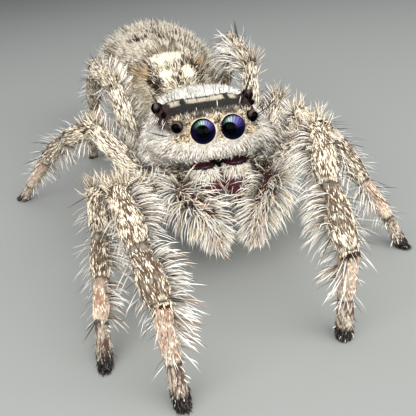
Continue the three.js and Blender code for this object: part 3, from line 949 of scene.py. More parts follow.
FANG = SimpleNamespace(radius=0.085, steps=8, stride=0.075, turn=0.2, taper=0.8)
CLAW = SimpleNamespace(radius=0.028, steps=6, stride=0.036, turn=0.3, taper=0.78)
HORN_SIDES = 10
# How far each claw turns out and up from the foot, and where it is set into the foot.
CLAW_SPREAD = 0.35
CLAW_RISE = 0.42
CLAW_APART = 0.04
CLAW_HEIGHT = 0.125
CLAW_SINK = 0.1
horn_material, _, _ = new_material(
    "horn", Base_Color=(*paint(34, 20, 16), 1), Roughness=0.3, Coat_Weight=0.5, Coat_Roughness=0.1)


def curved_horn(title, shape):
    """A horn drawn out of a disc step by step. It starts along +Z and curves towards +X."""
    bpy.ops.object.select_all(action="DESELECT")
    bpy.ops.mesh.primitive_circle_add(vertices=HORN_SIDES, radius=shape.radius, fill_type="NGON")
    horn = bpy.context.active_object
    horn.name = title
    bpy.ops.object.mode_set(mode="EDIT")
    bpy.ops.mesh.select_all(action="SELECT")
    end = Vector((0, 0, 0))
    for step in range(shape.steps):
        bearing = shape.turn * (step + 0.5)
        stride = Vector((math.sin(bearing), 0, math.cos(bearing))) * shape.stride
        end += stride
        bpy.ops.mesh.extrude_region_move(TRANSFORM_OT_translate={"value": stride})
        bpy.ops.transform.rotate(value=-shape.turn, orient_axis="Y", center_override=end)
        bpy.ops.transform.resize(value=[shape.taper] * 3, center_override=end)
    bpy.ops.mesh.select_all(action="SELECT")
    bpy.ops.mesh.normals_make_consistent(inside=False)
    bpy.ops.object.mode_set(mode="OBJECT")
    bpy.ops.object.shade_smooth()
    return horn


def placed_copies(horn, title, frames):
    """Copies of a horn joined into one piece, one for each (base, heading, curves_to)."""
    bpy.ops.object.select_all(action="DESELECT")
    for base, heading, curves_to in frames:
        along = unit(heading)
        bent = unit(curves_to - along * (curves_to @ along))
        turn = Matrix(np.column_stack([bent, np.cross(along, bent), along]).tolist()).to_4x4()
        copy = bpy.data.objects.new(title, horn.data.copy())
        bpy.context.scene.collection.objects.link(copy)
        copy.data.transform(Matrix.Scale(MM, 4) @ Matrix.Translation(base.tolist()) @ turn)
        copy.select_set(True)
        bpy.context.view_layer.objects.active = copy
    bpy.ops.object.join()
    piece = bpy.context.active_object
    piece.name = title
    piece.data.materials.append(horn_material)
    bpy.data.objects.remove(horn)
    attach(piece, "root")


fang_frames = []
for side, sign in SIDES.items():
    jaw = samples[f"jaw_{side}"]
    low_end = jaw[jaw[:, 2] < jaw[:, 2].min() + 0.25].mean(0)
    base = low_end + [0.16 * sign, 0, 0.12]
    fang_frames.append((base, np.array([-0.25 * sign, 0.25, -1.0]), np.array([-sign, 0.3, 0.2])))
placed_copies(curved_horn("fangs", FANG), "fangs", fang_frames)

claw_frames = []
for name, limb in limbs.items():
    if name.startswith("leg"):
        outward = unit(limb.tangents[-1] * [1, 1, 0])
        beside = np.array([-outward[1], outward[0], 0])
        for turn in (-1, 1):
            base = limb.points[-1] * [1, 1, 0] - outward * CLAW_SINK + beside * turn * CLAW_APART
            heading = outward + beside * turn * CLAW_SPREAD + [0, 0, CLAW_RISE]
            claw_frames.append((base + [0, 0, CLAW_HEIGHT], heading, np.array([0, 0, -1.0])))
placed_copies(curved_horn("claws", CLAW), "claws", claw_frames)

# ==== the breast plate =========================================================================
# A flat oval shield of bare brown shell lies under the body, between the hips. It is slightly
# domed, and closed at its edge.

PLATE_VOXEL = 0.07
PLATE_NAP = 4000
PLATE_TINTS = [(0.3, paint(38, 27, 21)), (0.7, paint(84, 62, 46))]
plate = joined_copies(["breast_plate"], "chest_shield")
finish_with(plate, "REMESH", mode="VOXEL", voxel_size=PLATE_VOXEL, use_smooth_shade=True)
finish_with(plate, "SMOOTH", factor=0.5, iterations=4)
plate_material, plate_tree, plate_shader = new_material("chest_shell", Roughness=0.4)
plate_height = nap_on(plate_tree, PLATE_NAP, 0.8).outputs["Height"]
plate_tint = ramp_of(plate_tree, plate_height, PLATE_TINTS)
plate_tree.links.new(plate_tint, plate_shader.inputs["Base Color"])
plate.data.materials.append(plate_material)
plate.data.transform(Matrix.Scale(MM, 4))
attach(plate, "root")
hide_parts("breast_plate")

# ==== how hair is made =========================================================================
# Every hair is a closed, three-sided spine that grows out of the skin. Scales are flat spindles,
# pointed at both ends; hairs are tapered from the root. Thousands are joined into each coat.

# Where each kind's rings of points lie along it, how thick and how flat it is, how dark its root
# is painted as shade, and how soon that painted shade fades up the hair.
SCALE = SimpleNamespace(shares=[0.42], widths=[1.0], flatness=0.45, root_painted_shade=0.7, fade=0.5)
FUZZ = SimpleNamespace(
    shares=[0.0, 0.5], widths=[1.0, 0.8], flatness=0.9, root_painted_shade=0.65, fade=0.5)
LONG = SimpleNamespace(
    shares=[0.0, 0.34, 0.68], widths=[0.9, 1.0, 0.7], flatness=0.9, root_painted_shade=0.28, fade=0.7)
TONES = (0.88, 1.1)  # the limits of each hair's own shade
# Each hair's tip is painted a little brighter, a painted light.
TIP_PAINTED_LIGHT = 1.06
BRIGHTEST = 0.95
ROOT_SINK = 0.03
FLOOR_GAP = 0.01
PATCH = 0.003  # size of each hair's own patch on the coat's flat map
PATCH_FOOT = 0.08  # how much of the patch the closed root takes up
MAP_MARGIN = 0.01
FUR_NAP = 9000


def faces_of_hair(kind):
    """The triangles of one hair, and where each corner lies on its patch."""
    pointed = kind.shares[0] > 0
    first = 1 if pointed else 0
    faces = [] if pointed else [(0, 2, 1)]
    spots = [] if pointed else [((0, 0), (0.67, 0), (0.33, PATCH_FOOT))]
    tip = first + 3 * len(kind.shares)
    for ring, low in enumerate(kind.shares):
        for side in range(3):
            here = first + ring * 3 + side
            there = first + ring * 3 + (side + 1) % 3
            left, right = side / 3, (side + 1) / 3
            middle = (left + right) / 2
            if pointed and ring == 0:
                faces.append((0, there, here))
                spots.append(((middle, 0), (right, low), (left, low)))
            if ring + 1 < len(kind.shares):
                high = kind.shares[ring + 1]
                faces += [(here, there, there + 3), (here, there + 3, here + 3)]
                spots += [((left, low), (right, low), (right, high)),
                          ((left, low), (right, high), (left, high))]
            else:
                faces.append((here, there, tip))
                spots.append(((left, low), (right, low), (middle, 1.0)))
    return np.array(faces), np.array(spots, float)


def between(low, high, count):
    """Random values between two limits."""
    return low + (high - low) * dice.random(count)


def wander(lie, amount):
    """Directions with a little disorder."""
    return lie + dice.normal(0, amount, lie.shape)


def picked(value, count):
    """Random values inside a range given as (low, high), or else the value itself."""
    return between(*value, count) if isinstance(value, tuple) else value


def hair_layer(kind, root, facing, lie, length, width, lift, curl, colours, droop=(0, 0, 0)):
    """Hairs from given roots. Lift is the angle off the skin in degrees, and curl is how far a
    hair bends back to its lie."""
    count = len(root)
    length, width, lift, curl = (
        np.broadcast_to(picked(value, count), count)[:, None]
        for value in (length, width, lift, curl))
    lift = np.radians(lift)
    lie = unit(lie - facing * (lie * facing).sum(1, keepdims=True))
    start = lie * np.cos(lift) + facing * np.sin(lift)
    pale, dark, share = colours
    is_dark = dice.random(count) < share
    colour = np.where(is_dark[:, None], dark, pale) * between(*TONES, count)[:, None]
    return SimpleNamespace(
        kind=kind, root=root - facing * ROOT_SINK, facing=facing, start=start,
        bend=(lie - start) * curl + np.array(droop), length=length, width=width, colour=colour)


def roots_on(surface, count, wanted):
    """Random roots on a surface. wanted is how much each triangle's share of hairs is raised."""
    chosen, mix = spread_over(surface.areas * wanted, count)
    corners = surface.corners[chosen]
    root = (surface.places[corners] * mix).sum(1)
    return root, unit((surface.normals[corners] * mix).sum(1))


def sow(kind, surface, count, wanted, lie, disorder, length, width, lift, curl, colours,
        droop=(0, 0, 0), trim=None):
    """Hairs on random roots. Measures are values or ranges. The lie and the colours may be found
    from the roots and the skin's facing, and trim changes the lengths once they are picked."""
    root, facing = roots_on(surface, count, wanted)
    lie = np.broadcast_to(lie(root, facing) if callable(lie) else lie, root.shape)
    if disorder:
        lie = wander(lie, disorder)
    length = picked(length, count)
    if trim:
        length = trim(root, facing, length)
    if callable(colours):
        colours = colours(root, facing)
    return hair_layer(kind, root, facing, lie, length, width, lift, curl, colours, droop)


def hair_mesh(layer, spots):
    """Vertices, colours, triangles and map of one layer of hairs."""
    kind = layer.kind
    rows, tints = [], []
    # Each hair is painted dark at its root, a painted shade that fades up the hair, and brighter at
    # its tip, a painted light.
    if kind.shares[0] > 0:
        rows.append(layer.root)
        tints.append(layer.colour * kind.root_painted_shade)
    for share, thickness in zip(kind.shares, kind.widths):
        middle = layer.root + layer.length * (layer.start * share + layer.bend * share * share / 2)
        heading = unit(layer.start + layer.bend * share)
        beside = unit(np.cross(heading, layer.facing))
        under = np.cross(heading, beside)
        for corner in range(3):
            angle = math.radians(-90 + 120 * corner)
            offset = beside * math.cos(angle) + under * math.sin(angle) * kind.flatness
            rows.append(middle + offset * layer.width * thickness / 2)
            tints.append(
                layer.colour * (kind.root_painted_shade + (1 - kind.root_painted_shade) * share ** kind.fade))
    rows.append(layer.root + layer.length * (layer.start + layer.bend / 2))
    tints.append(layer.colour * TIP_PAINTED_LIGHT)
    vertices = np.stack(rows, 1)
    vertices[..., 2] = np.maximum(vertices[..., 2], FLOOR_GAP)
    colours = np.clip(np.stack(tints, 1), 0, BRIGHTEST)
    faces, patch = faces_of_hair(kind)
    faces = faces[None] + (np.arange(len(vertices)) * vertices.shape[1])[:, None, None]
    flat = spots[:, None, None] + patch[None] * PATCH
    columns = vertices, colours, faces, flat
    return tuple(column.reshape(-1, column.shape[-1]) for column in columns)


def spread_evenly(spots):
    """Moves places on a flat map apart until each has room of its own, next to its neighbours."""
    count = len(spots)
    rows = math.ceil(math.sqrt(count))
    row = np.empty(count, int)
    row[np.argsort(spots[:, 1], kind="stable")] = np.arange(count) * rows // count
    even = np.empty((count, 2))
    for number in range(rows):
        members = np.flatnonzero(row == number)
        members = members[np.argsort(spots[members, 0], kind="stable")]
        even[members, 0] = np.arange(len(members)) / len(members)
    even[:, 1] = row / rows
    return MAP_MARGIN + (1 - 2 * MAP_MARGIN) * even


def grow(title, layers, unwrap):
    """Joins layers of hair into a piece of coat. unwrap gives each root's place on the flat map."""
    spots = spread_evenly(np.concatenate([unwrap(layer.root) for layer in layers]))
    starts = np.cumsum([0] + [len(layer.root) for layer in layers])
    parts = [hair_mesh(layer, spots[start:start + len(layer.root)])
             for layer, start in zip(layers, starts)]
    offsets = np.cumsum([0] + [len(places) for places, _, _, _ in parts])
    vertices, colours, faces, flats = (np.concatenate(column) for column in zip(*(
        (places, tints, corners + offset, flat)
        for (places, tints, corners, flat), offset in zip(parts, offsets))))
    mesh = bpy.data.meshes.new(title)
    mesh.vertices.add(len(vertices))
    mesh.vertices.foreach_set("co", (vertices * MM).ravel().astype(np.float32))
    mesh.loops.add(faces.size)
    mesh.loops.foreach_set("vertex_index", faces.ravel().astype(np.int32))
    mesh.polygons.add(len(faces))
    mesh.polygons.foreach_set("loop_start", np.arange(0, faces.size, 3, dtype=np.int32))
    mesh.update(calc_edges=True)
    mesh.polygons.foreach_set("use_smooth", np.ones(len(faces), bool))
    set_colours(mesh, "hair", colours)
    bake_map = mesh.uv_layers.new(name="OFBake")
    bake_map.uv.foreach_set("vector", flats.ravel().astype(np.float32))
    mesh.materials.append(fur)
    piece = bpy.data.objects.new(title, mesh)
    bpy.context.scene.collection.objects.link(piece)
    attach(piece, "root")


def round_body(middle, pole):
    """A way to lay a rounded body out flat: angle round a pole across, angle from it upwards."""
    pole = unit(np.array(pole, float))
    first = unit(np.cross(pole, [0.3, 0.2, 1.0]))
    second = np.cross(pole, first)

    def flat(places):
        heading = unit(places - middle)
        around = np.arctan2(heading @ second, heading @ first) / (2 * math.pi) + 0.5
        return np.column_stack([around, np.arccos(np.clip(heading @ pole, -1, 1)) / math.pi])
    return flat


def along_limb(limb):
    """A way to lay a limb out flat: angle round it across, distance along it upwards."""
    def flat(places):
        spot = on_limb(limb, places)
        return np.column_stack([spot.around / (2 * math.pi) + 0.5, spot.along / limb.along[-1]])
    return flat


def down_limb(limb):
    """Hair on a limb lies along it, towards the tip."""
    return lambda places, facing: on_limb(limb, places).direction


fur, _, _ = painted_material("fur", "hair", FUR_NAP, 0.3, Roughness=0.55, Specular_IOR_Level=0.2)

# ==== the coat of the legs =====================================================================
# Flat scales lie along each leg. Long white hairs fringe its inner side, a brush stands on the
# knee, fine strays and dark spines stand out all round, and a black tuft ends the foot.

# How many hairs each leg has, from the first pair to the last.
LEG_SCALES = (17000, 13000, 9500, 12000)
LEG_FRINGES = (420, 340, 210, 260)
LEG_STRAYS = (360, 320, 300, 320)
KNEE_BRUSHES = (64, 60, 44, 44)
LEG_SPINES = 7
FOOT_TUFT = 460
# Measures for each part of a leg, from the thigh to the foot.
SCALE_LENGTHS = np.array([0.3, 0.28, 0.26, 0.22, 0.17])
SCALE_WIDTHS = np.array([0.066, 0.062, 0.06, 0.056, 0.048])
FRINGE_LENGTHS = np.array([0.75, 1.0, 1.05, 0.85, 0.3])
FRINGE_SHARES = np.array([0.32, 1.0, 1.0, 0.8, 0.12])
KNEE_HEADING = (0.0, 0.35, 1.0)


def close_to(distance):
    """1 at a joint, falling to 0 a little way off it."""
    return 1 - smooth_step(0.05, 0.3, distance)


def leg_coat(side, number):
    """The layers of hair of one leg."""
    limb = limbs[f"leg_{side}_{number + 1}"]
    mine = owned_by(limb, hide.owners)[hide.corners[:, 0]]
    here = on_limb(limb, hide.middles)
    on_foot = here.segment == 4
    inner = hide.facings @ np.array([-SIDES[side], 0, 0])
    down = down_limb(limb)

    at_ring = close_to(here.ahead) * (here.along > 2)
    at_start = close_to(here.behind) * (here.segment > 0)
    wanted = 1 + 1.2 * at_ring + 1.8 * at_start + 1.0 * on_foot + 0.3 * (here.segment == 3)
    root, facing = roots_on(hide, LEG_SCALES[number], mine * wanted)
    spot = on_limb(limb, root)
    short = 1 - 0.4 * close_to(spot.ahead) * (spot.along > 2)
    scales = hair_layer(
        SCALE, root, facing, wander(spot.direction, 0.13),
        SCALE_LENGTHS[spot.segment] * between(0.75, 1.25, len(root)) * short,
        SCALE_WIDTHS[spot.segment] * between(0.75, 1.2, len(root)), (5, 17), 0.8,
        leg_marks(spot, facing))

    wanted = smooth_step(0.35, 0.85, inner) + 0.12 * smooth_step(0.2, 0.8, -hide.facings[:, 2])
    wanted = wanted * (1 - 0.85 * smooth_step(0.35, 0.75, here.fraction) * (here.segment > 0))
    root, facing = roots_on(hide, LEG_FRINGES[number], mine * wanted * FRINGE_SHARES[here.segment])
    spot = on_limb(limb, root)
    length = FRINGE_LENGTHS[spot.segment] * between(0.55, 1.1, len(root))
    length = length * (1 - 0.6 * smooth_step(0.6, 1.0, spot.fraction) * (spot.segment == 4))
    lock = blots(spot.around * 3, spot.along / 0.13)
    fringe = hair_layer(
        LONG, root, facing, wander(spot.direction, 0.1), length, between(0.032, 0.048, len(root)),
        62 + 24 * lock + between(-5, 5, len(root)), 0.25 + 0.4 * lock, (WHITE, FAWN, 0.25),
        droop=(0, 0, -0.12))

    strays = sow(
        FUZZ, hide, LEG_STRAYS[number], mine, down, 0.25, (0.35, 0.85), (0.013, 0.019), (40, 75),
        (0.2, 0.7), (WHITE, BROWN, 0.3),
        trim=lambda root, facing, length: length * FRINGE_LENGTHS[on_limb(limb, root).segment])

    at_knee = (here.segment == 0) * (here.ahead < 0.55) + (here.segment == 1) * (here.behind < 0.3)
    wanted = mine * at_knee * smooth_step(0.0, 0.6, hide.facings[:, 2])
    brush = sow(
        LONG, hide, KNEE_BRUSHES[number], wanted, KNEE_HEADING, 0.3, (0.35, 0.85), (0.024, 0.034),
        (48, 84), 0.3, (CREAM, FAWN, 0.4))

    on_stem = np.isin(here.segment, [1, 2, 3]) * (hide.facings[:, 2] > -0.4)
    spines = sow(
        LONG, hide, LEG_SPINES, mine * on_stem, down, 0, (0.6, 1.0), 0.034, (38, 58), 0.1,
        (BROWN, UMBER, 0.5))

    tuft = sow(
        FUZZ, hide, FOOT_TUFT, mine * on_foot * smooth_step(0.4, 0.8, here.fraction), down, 0.2,
        (0.14, 0.24), (0.018, 0.028), (14, 42), 0.7, (ASH, SOOT, 0.55))
    grow(f"coat_leg_{side}_{number + 1}", [scales, fringe, strays, brush, spines, tuft],
         along_limb(limb))


for side in SIDES:
    for number in range(4):
        leg_coat(side, number)

# ==== the coat of the palps ====================================================================
# Each palp is a bottle brush: long cream hairs stand out all round a thin core, arch over, and
# close up into a rounded brush at the tip.

PALP_SCALES = 3400
PALP_BRUSH = 320
PALP_FRONT = 220
PALP_END = 560


def palp_coat(side):
    """The coat of one palp."""
    limb = limbs[f"palp_{side}"]
    mine = owned_by(limb, hide.owners)[hide.corners[:, 0]]
    down = down_limb(limb)
    share = on_limb(limb, hide.middles).along / limb.along[-1]
    aside, ahead = hide.facings[:, 0], -hide.facings[:, 1]
    scales = sow(
        SCALE, hide, PALP_SCALES, mine, down, 0.2, (0.2, 0.3), (0.05, 0.07), (6, 24), 0.6,
        lambda root, facing: palp_marks(on_limb(limb, root), facing))

    bared = smooth_step(0.1, 0.6, -SIDES[side] * aside) * (1 - smooth_step(0.4, 0.65, share))
    wanted = mine * (0.05 + np.abs(aside) ** 3) * (share > 0.1) * (1 - 0.65 * bared)
    root, facing = roots_on(hide, PALP_BRUSH, wanted)
    spot = on_limb(limb, root)
    end = smooth_step(0.45, 1.0, spot.along / limb.along[-1])
    brush = hair_layer(
        LONG, root, facing, wander(spot.direction, 0.12),
        between(0.95, 1.4, len(root)) * (1 - 0.64 * end), between(0.042, 0.056, len(root)),
        between(66, 98, len(root)) * (1 - 0.4 * end), (0.35, 0.7), (WHITE, CREAM, 0.3),
        droop=(0, 0, -0.3))

    front = sow(
        LONG, hide, PALP_FRONT, mine * smooth_step(0.3, 0.8, ahead) * (share > 0.05), down, 0.5,
        (0.4, 0.75), (0.03, 0.042), (20, 52), (0.3, 1.0), (WHITE, PEACH, 0.3))
    tip = sow(
        FUZZ, hide, PALP_END, mine * smooth_step(0.6, 0.8, share), down, 0.25,
        (0.16, 0.28), (0.032, 0.042), (20, 50), (0.3, 0.9), (CREAM, ROSE, 0.3))
    grow(f"coat_palp_{side}", [scales, brush, front, tip], along_limb(limb))


for side in SIDES:
    palp_coat(side)

# ==== the coat of the head =====================================================================
# Short scales cover the face and lie away from the eyes; a white fringe is combed down over the
# jaws, fluffy white hair stands out on the cheeks, and the crown has a flat black and white nap.

FACE_SCALES = 15000
GOLD_HAIRS = 2600
CLYPEUS_HAIRS = 2000
CLYPEUS_STRANDS = 560
LIP_HAIRS = 215
CHEEK_HAIRS = 8600
BACK_HAIRS = 10000
BAND_HAIRS = 3400


def clear_of_eyes(margin):
    """1 for each triangle of the skin that no eye lies within a margin of, 0 for the others."""
    free = np.ones(len(hide.middles))
    for eye in eyes:
        free[np.linalg.norm(hide.middles - eye.centre, axis=1) < eye.radius + margin] = 0
    return free


def head_lie(places, facing):
    """Which way hair lies on the head: off the eyes, down the face, out on the cheeks and back."""
    across = to_head(places)[:, 0]
    same = np.ones(len(places))
    top = smooth_step(0.35, 0.75, facing[:, 2])[:, None]
    cheek = smooth_step(0.9, 1.9, np.abs(across))[:, None]
    down = np.column_stack([0.55 * across, -0.2 * same, -same])
    outward = np.column_stack([np.sign(across) * 0.8, 0.6 * same, -0.6 * same])
    rearward = np.column_stack([0.12 * across, same, 0 * same])
    lie = down * (1 - cheek) + outward * cheek
    lie = (lie * (1 - top) + rearward * top) @ head_axes
    for eye in eyes:
        away = places - eye.centre
        gap = np.linalg.norm(away, axis=1) - eye.radius
        near = (1 - smooth_step(0.05, 0.3, gap))[:, None]
        lie = lie * (1 - near) + unit(away) * near
    return lie


def lip_lie(root, facing):
    """The lip's hair is combed down, and to the left on its right half."""
    combed = np.where(to_head(root)[:, 0] < 0.1, 0.6, 0.1)
    return np.column_stack([combed, np.full(len(root), -0.3), np.full(len(root), -1.0)]) @ head_axes


def above_lip(slack):
    """A trim that keeps the tips of hair off the bare edge over the jaws."""
    return lambda root, facing, length: np.minimum(
        length, np.clip(to_head(root)[:, 2] - LIP_EDGE, 0, 1) + slack)


def cheek_trim(root, facing, length):
    """Fuller hair on the left cheek; on the right one it keeps off the end of the lip."""
    across, back, up = to_head(root).T
    room = np.where(back < 1.5, np.clip(up - LIP_EDGE, 0, 1) * 0.7 + 0.05, 1)
    return np.where(across > 0, 1.6 * length, np.minimum(length, room))


head_across, head_back, head_up = to_head(hide.middles).T
head_aside = np.abs(head_across)
head_banded = crown_back(head_across, head_back)
is_head = np.isin(hide.kinds, ["carapace", "waist"])[hide.corners[:, 0]] * clear_of_eyes(0.0)
face_side = 1 - smooth_step(0.3, 0.6, hide.facings[:, 2])
front_part = is_head * (1 - smooth_step(2.5, 2.8, head_banded))
rear_part = is_head * smooth_step(2.4, 2.7, head_banded)
gold_zone = front_part * (head_up > -0.42) * (head_aside < 1.45) * clear_of_eyes(0.06)
gold_zone = gold_zone * (head_banded < CROWN_BANDS.gold + 0.1)
over_lip = is_head * (head_up > LIP_EDGE)
clypeus = over_lip * (head_back < 0.9) * (head_aside < 1.9) * (head_up < -0.3) * face_side
lip = over_lip * (head_aside < 2.0) * (head_up < LIP_EDGE + 0.14) * (head_back < 0.6)
cheeks = is_head * smooth_step(1.3, 1.9, head_aside) * face_side
cheeks = cheeks * np.maximum(head_up > LIP_EDGE + 0.2, head_back > 1.4)
white_band = is_head * (head_banded > CROWN_BANDS.line) * (1 - smooth_step(3.3, 3.7, head_back))
white_band = white_band * (hide.facings[:, 2] > 0.4) * (head_aside < 1.8)

grow("coat_face", [
    sow(SCALE, hide, FACE_SCALES, front_part, head_lie, 0.22, (0.12, 0.2), (0.03, 0.045), (8, 28),
        0.6, head_marks, trim=lambda root, facing, length: length * (
            1 - 0.15 * smooth_step(0.4, 0.7, facing[:, 2]))),
    sow(SCALE, hide, GOLD_HAIRS, gold_zone, head_lie, 0.45, (0.13, 0.24), (0.026, 0.036), (25, 60),
        0.3, head_marks),
    sow(FUZZ, hide, CLYPEUS_HAIRS, clypeus * clear_of_eyes(0.1), head_lie, 0.28, (0.2, 0.36),
        (0.026, 0.036), (12, 34), 0.6, (WHITE, FAWN, 0.2), trim=above_lip(0.04)),
    sow(LONG, hide, CLYPEUS_STRANDS, clypeus * clear_of_eyes(0.16), head_lie, 0.3, (0.26, 0.44),
        (0.036, 0.048), (16, 40), 0.7, (WHITE, FAWN, 0.12), trim=above_lip(0.05)),
    sow(LONG, hide, LIP_HAIRS, lip, lip_lie, 0.2, (0.2, 0.36), (0.034, 0.044), (10, 40), 0.6,
        (WHITE, CREAM, 0.2), droop=(0, 0, -0.25)),
], round_body(brow + np.array([0, 1.2, -0.2]), (1, 0, 0)))

grow("coat_mane", [
    sow(FUZZ, hide, CHEEK_HAIRS, cheeks, head_lie, 0.2, (0.3, 0.62), (0.026, 0.038), (10, 36),
        (0.4, 1.0), (WHITE, FAWN, 0.2), droop=(0, 0, -0.1), trim=cheek_trim),
    sow(SCALE, hide, BACK_HAIRS, rear_part, head_lie, 0.2, (0.26, 0.46), (0.05, 0.07), (10, 30),
        0.5, head_marks),
    sow(FUZZ, hide, BAND_HAIRS, white_band, head_lie, 0.45, (0.2, 0.42), (0.028, 0.04), (20, 62),
        0.4, (LAVENDER, WHITE, 0.5)),
], round_body(brow + np.array([0, 3.0, -0.6]), (0, 1, 0)))

# ==== the coat of the jaws =====================================================================
# White hair hides the upper third of each jaw, and short dark scales on the neck above it
# are a painted shade under the face. Long curved strands hang over the bare shell.

JAW_HAIRS = 680
JAW_STRANDS = 110
JAW_TOP_SCALES = 2600
JAW_FUR_TOP = -1.21  # heights between which the jaws' own fur grows
JAW_FUR_END = -1.52


def jaw_fall(spread):
    """Hair on the jaws hangs down and spreads to the sides."""
    return lambda root, facing: np.column_stack([
        spread * to_head(root)[:, 0], np.zeros(len(root)), np.full(len(root), -1.0)])


jaw_up = to_head(jaw_shell.middles)[:, 2]
jaw_front = (jaw_up < JAW_FUR_TOP) * smooth_step(-0.3, 0.3, -jaw_shell.facings[:, 1])
grow("coat_jaws", [
    sow(LONG, jaw_shell, JAW_HAIRS, jaw_front * (jaw_up > JAW_FUR_END), jaw_fall(0.4), 0.3,
        (0.2, 0.38), (0.03, 0.04), (14, 45), (0.4, 1.0), (WHITE, CREAM, 0.3)),
    sow(LONG, jaw_shell, JAW_STRANDS, jaw_front, jaw_fall(0.8), 0.5,
        (0.4, 0.8), (0.028, 0.038), (30, 60), (0.4, 1.0), (WHITE, CREAM, 0.3)),
    # Painted shade: dark scales on the jaws' neck under the face.
    sow(SCALE, jaw_shell, JAW_TOP_SCALES, jaw_up > JAW_FUR_TOP - 0.02, (0, 0, -1), 0.2,
        (0.1, 0.16), (0.04, 0.06), (6, 20), 0.6, (MAROON, SOOT, 0.75)),
], round_body(jaw_shell.places.mean(0), (1, 0, 0)))

# ==== bristles =================================================================================
# Fine black bristles stand upright along the crown and in tufts by the rear eyes, a few curve
# out from the temples, and pale ones stand in front of the black band.

# Rows across the crown: how many, how far back, length.
CROWN_ROWS = [(30, 2.4, 0.5), (9, 1.9, 0.3)]
CROWN_HALF_WIDTH = 1.42
CROWN_HEIGHT = 0.7
# Single bristles: the place they grow from and their heading, both as across, back and up from
# between the big front eyes, then their bend, length, width and colour.
BRISTLES = [
    ((-1.42, 1.35, 0.45), (-0.55, 0.0, 1.0), (0.1, 0, 0.1), 1.15, 0.05, SOOT),
    ((-1.38, 1.5, 0.45), (-0.85, 0.0, 1.0), (0.3, 0, 0.2), 1.0, 0.038, SOOT),
    ((1.36, 1.75, 0.5), (0.42, 0.1, 1.0), (0.1, 0, 0), 1.25, 0.06, SOOT),
    ((1.3, 1.7, 0.5), (0.62, 0.1, 1.0), (-0.2, 0, 0), 1.1, 0.05, SOOT),
    ((1.42, 1.6, 0.5), (0.2, 0.0, 1.0), (0.4, 0, 0), 0.8, 0.04, SOOT),
    ((-1.75, 0.5, 0.0), (-1.0, -0.25, 0.3), (0, 0, 0.3), 0.8, 0.045, SOOT),
    ((1.8, 1.2, 0.1), (1.0, -0.1, 0.3), (0, 0, 0.9), 0.95, 0.05, SOOT),
    ((1.8, 1.5, 0.2), (1.0, 0.0, 0.7), (0, 0, 0.4), 0.6, 0.032, UMBER),
    ((1.75, 1.8, 0.3), (0.7, 0.0, 1.0), (0, 0, 0.2), 0.55, 0.028, UMBER),
    ((1.75, 1.0, 0.1), (1.0, 0.0, 0.5), (0, 0, 0.3), 0.5, 0.028, UMBER),
    ((-1.75, 1.4, 0.2), (-1.0, 0.0, 0.8), (0, 0, 0.4), 0.6, 0.032, UMBER),
    ((-1.7, 1.8, 0.3), (-0.7, 0.0, 1.0), (0.2, 0, 0), 0.5, 0.028, UMBER),
    ((0.22, 0.8, 0.6), (0.0, -0.2, 1.0), (0, 0, 0), 0.3, 0.036, WHITE),
    ((1.15, 1.2, 0.6), (0.25, -0.2, 1.0), (0, 0, 0), 0.34, 0.036, WHITE),
    ((-0.5, 0.6, 0.6), (-0.1, -0.2, 1.0), (0, 0, 0), 0.2, 0.03, WHITE),
]


def bristle_layer(anchors, headings, bends, lengths, widths, colours):
    """Bristles that grow from the skin nearest to each anchor along a given heading."""
    anchors = brow + np.array(anchors, float) @ head_axes
    nearest = [np.linalg.norm(hide.places - anchor, axis=1).argmin() for anchor in anchors]
    facing = hide.normals[nearest]
    return SimpleNamespace(
        kind=LONG, root=hide.places[nearest] - facing * ROOT_SINK, facing=facing,
        start=unit(np.array(headings, float)) @ head_axes, bend=np.array(bends, float) @ head_axes,
        length=np.array(lengths, float)[:, None], width=np.array(widths, float)[:, None],
        colour=np.array(colours))


layers = [bristle_layer(*zip(*BRISTLES))]
for count, back, length in CROWN_ROWS:
    across = between(-CROWN_HALF_WIDTH, CROWN_HALF_WIDTH, count)
    bowed = back + CROWN_BOW * across ** 2 + dice.normal(0, 0.04, count)
    anchors = np.column_stack([across, bowed, np.full(count, CROWN_HEIGHT)])
    headings = np.column_stack([0.16 * across, np.full(count, 0.15), np.ones(count)])
    layers.append(bristle_layer(
        anchors, wander(headings, 0.14), wander(np.zeros((count, 3)), 0.16),
        length * between(0.5, 1.4, count), between(0.014, 0.02, count), np.tile(SOOT, (count, 1))))
grow("coat_bristles", layers, round_body(brow + np.array([0, 1.5, -0.5]), (0, 0, 1)))

# ==== the coat of the belly ====================================================================
# Soft grey hair, pale on the flanks, with bright short scales in the white bar and spots and
# thin pale hairs standing out of it all over.

BELLY_SCALES = 21000
SPOT_SCALES = 2200
BELLY_LONG = 4200
BRIGHT_TONES = ("white", "cream")


def belly_lie(places, facing):
    """Hair on the belly lies straight back, and out a little on the flanks."""
    across = 0.1 * to_belly(places)[:, 0] - math.sin(BELLY_SWING)
    back, up = math.cos(BELLY_SWING), -0.12
    return np.column_stack([across, np.full(len(places), back), np.full(len(places), up)])


is_belly = np.isin(hide.kinds, ["abdomen", "spinnerets"])[hide.corners[:, 0]]
belly_upper = is_belly * (0.55 + 0.45 * smooth_step(-0.3, 0.4, hide.facings[:, 2]))
bright = belly_spots(hide.middles, hide.facings, BRIGHT_TONES)
grow("coat_belly", [
    sow(SCALE, hide, BELLY_SCALES, belly_upper, belly_lie, 0.22, (0.28, 0.46), (0.05, 0.07),
        (8, 26), 0.6, belly_marks, trim=lambda root, facing, length: length * (
            1 - 0.35 * belly_spots(root, facing, BRIGHT_TONES))),
    sow(SCALE, hide, SPOT_SCALES, is_belly * bright, belly_lie, 0.2, (0.16, 0.24), (0.06, 0.08),
        (14, 32), 0.5, belly_marks),
    sow(FUZZ, hide, BELLY_LONG, belly_upper * (1 - 0.9 * bright), belly_lie, 0.35, (0.4, 0.75),
        (0.016, 0.024), (30, 70), (0.1, 0.8), (BELLY_PALE, BROWN, 0.2)),
], round_body(samples["abdomen"].mean(0), (-0.2, 1, 0)))

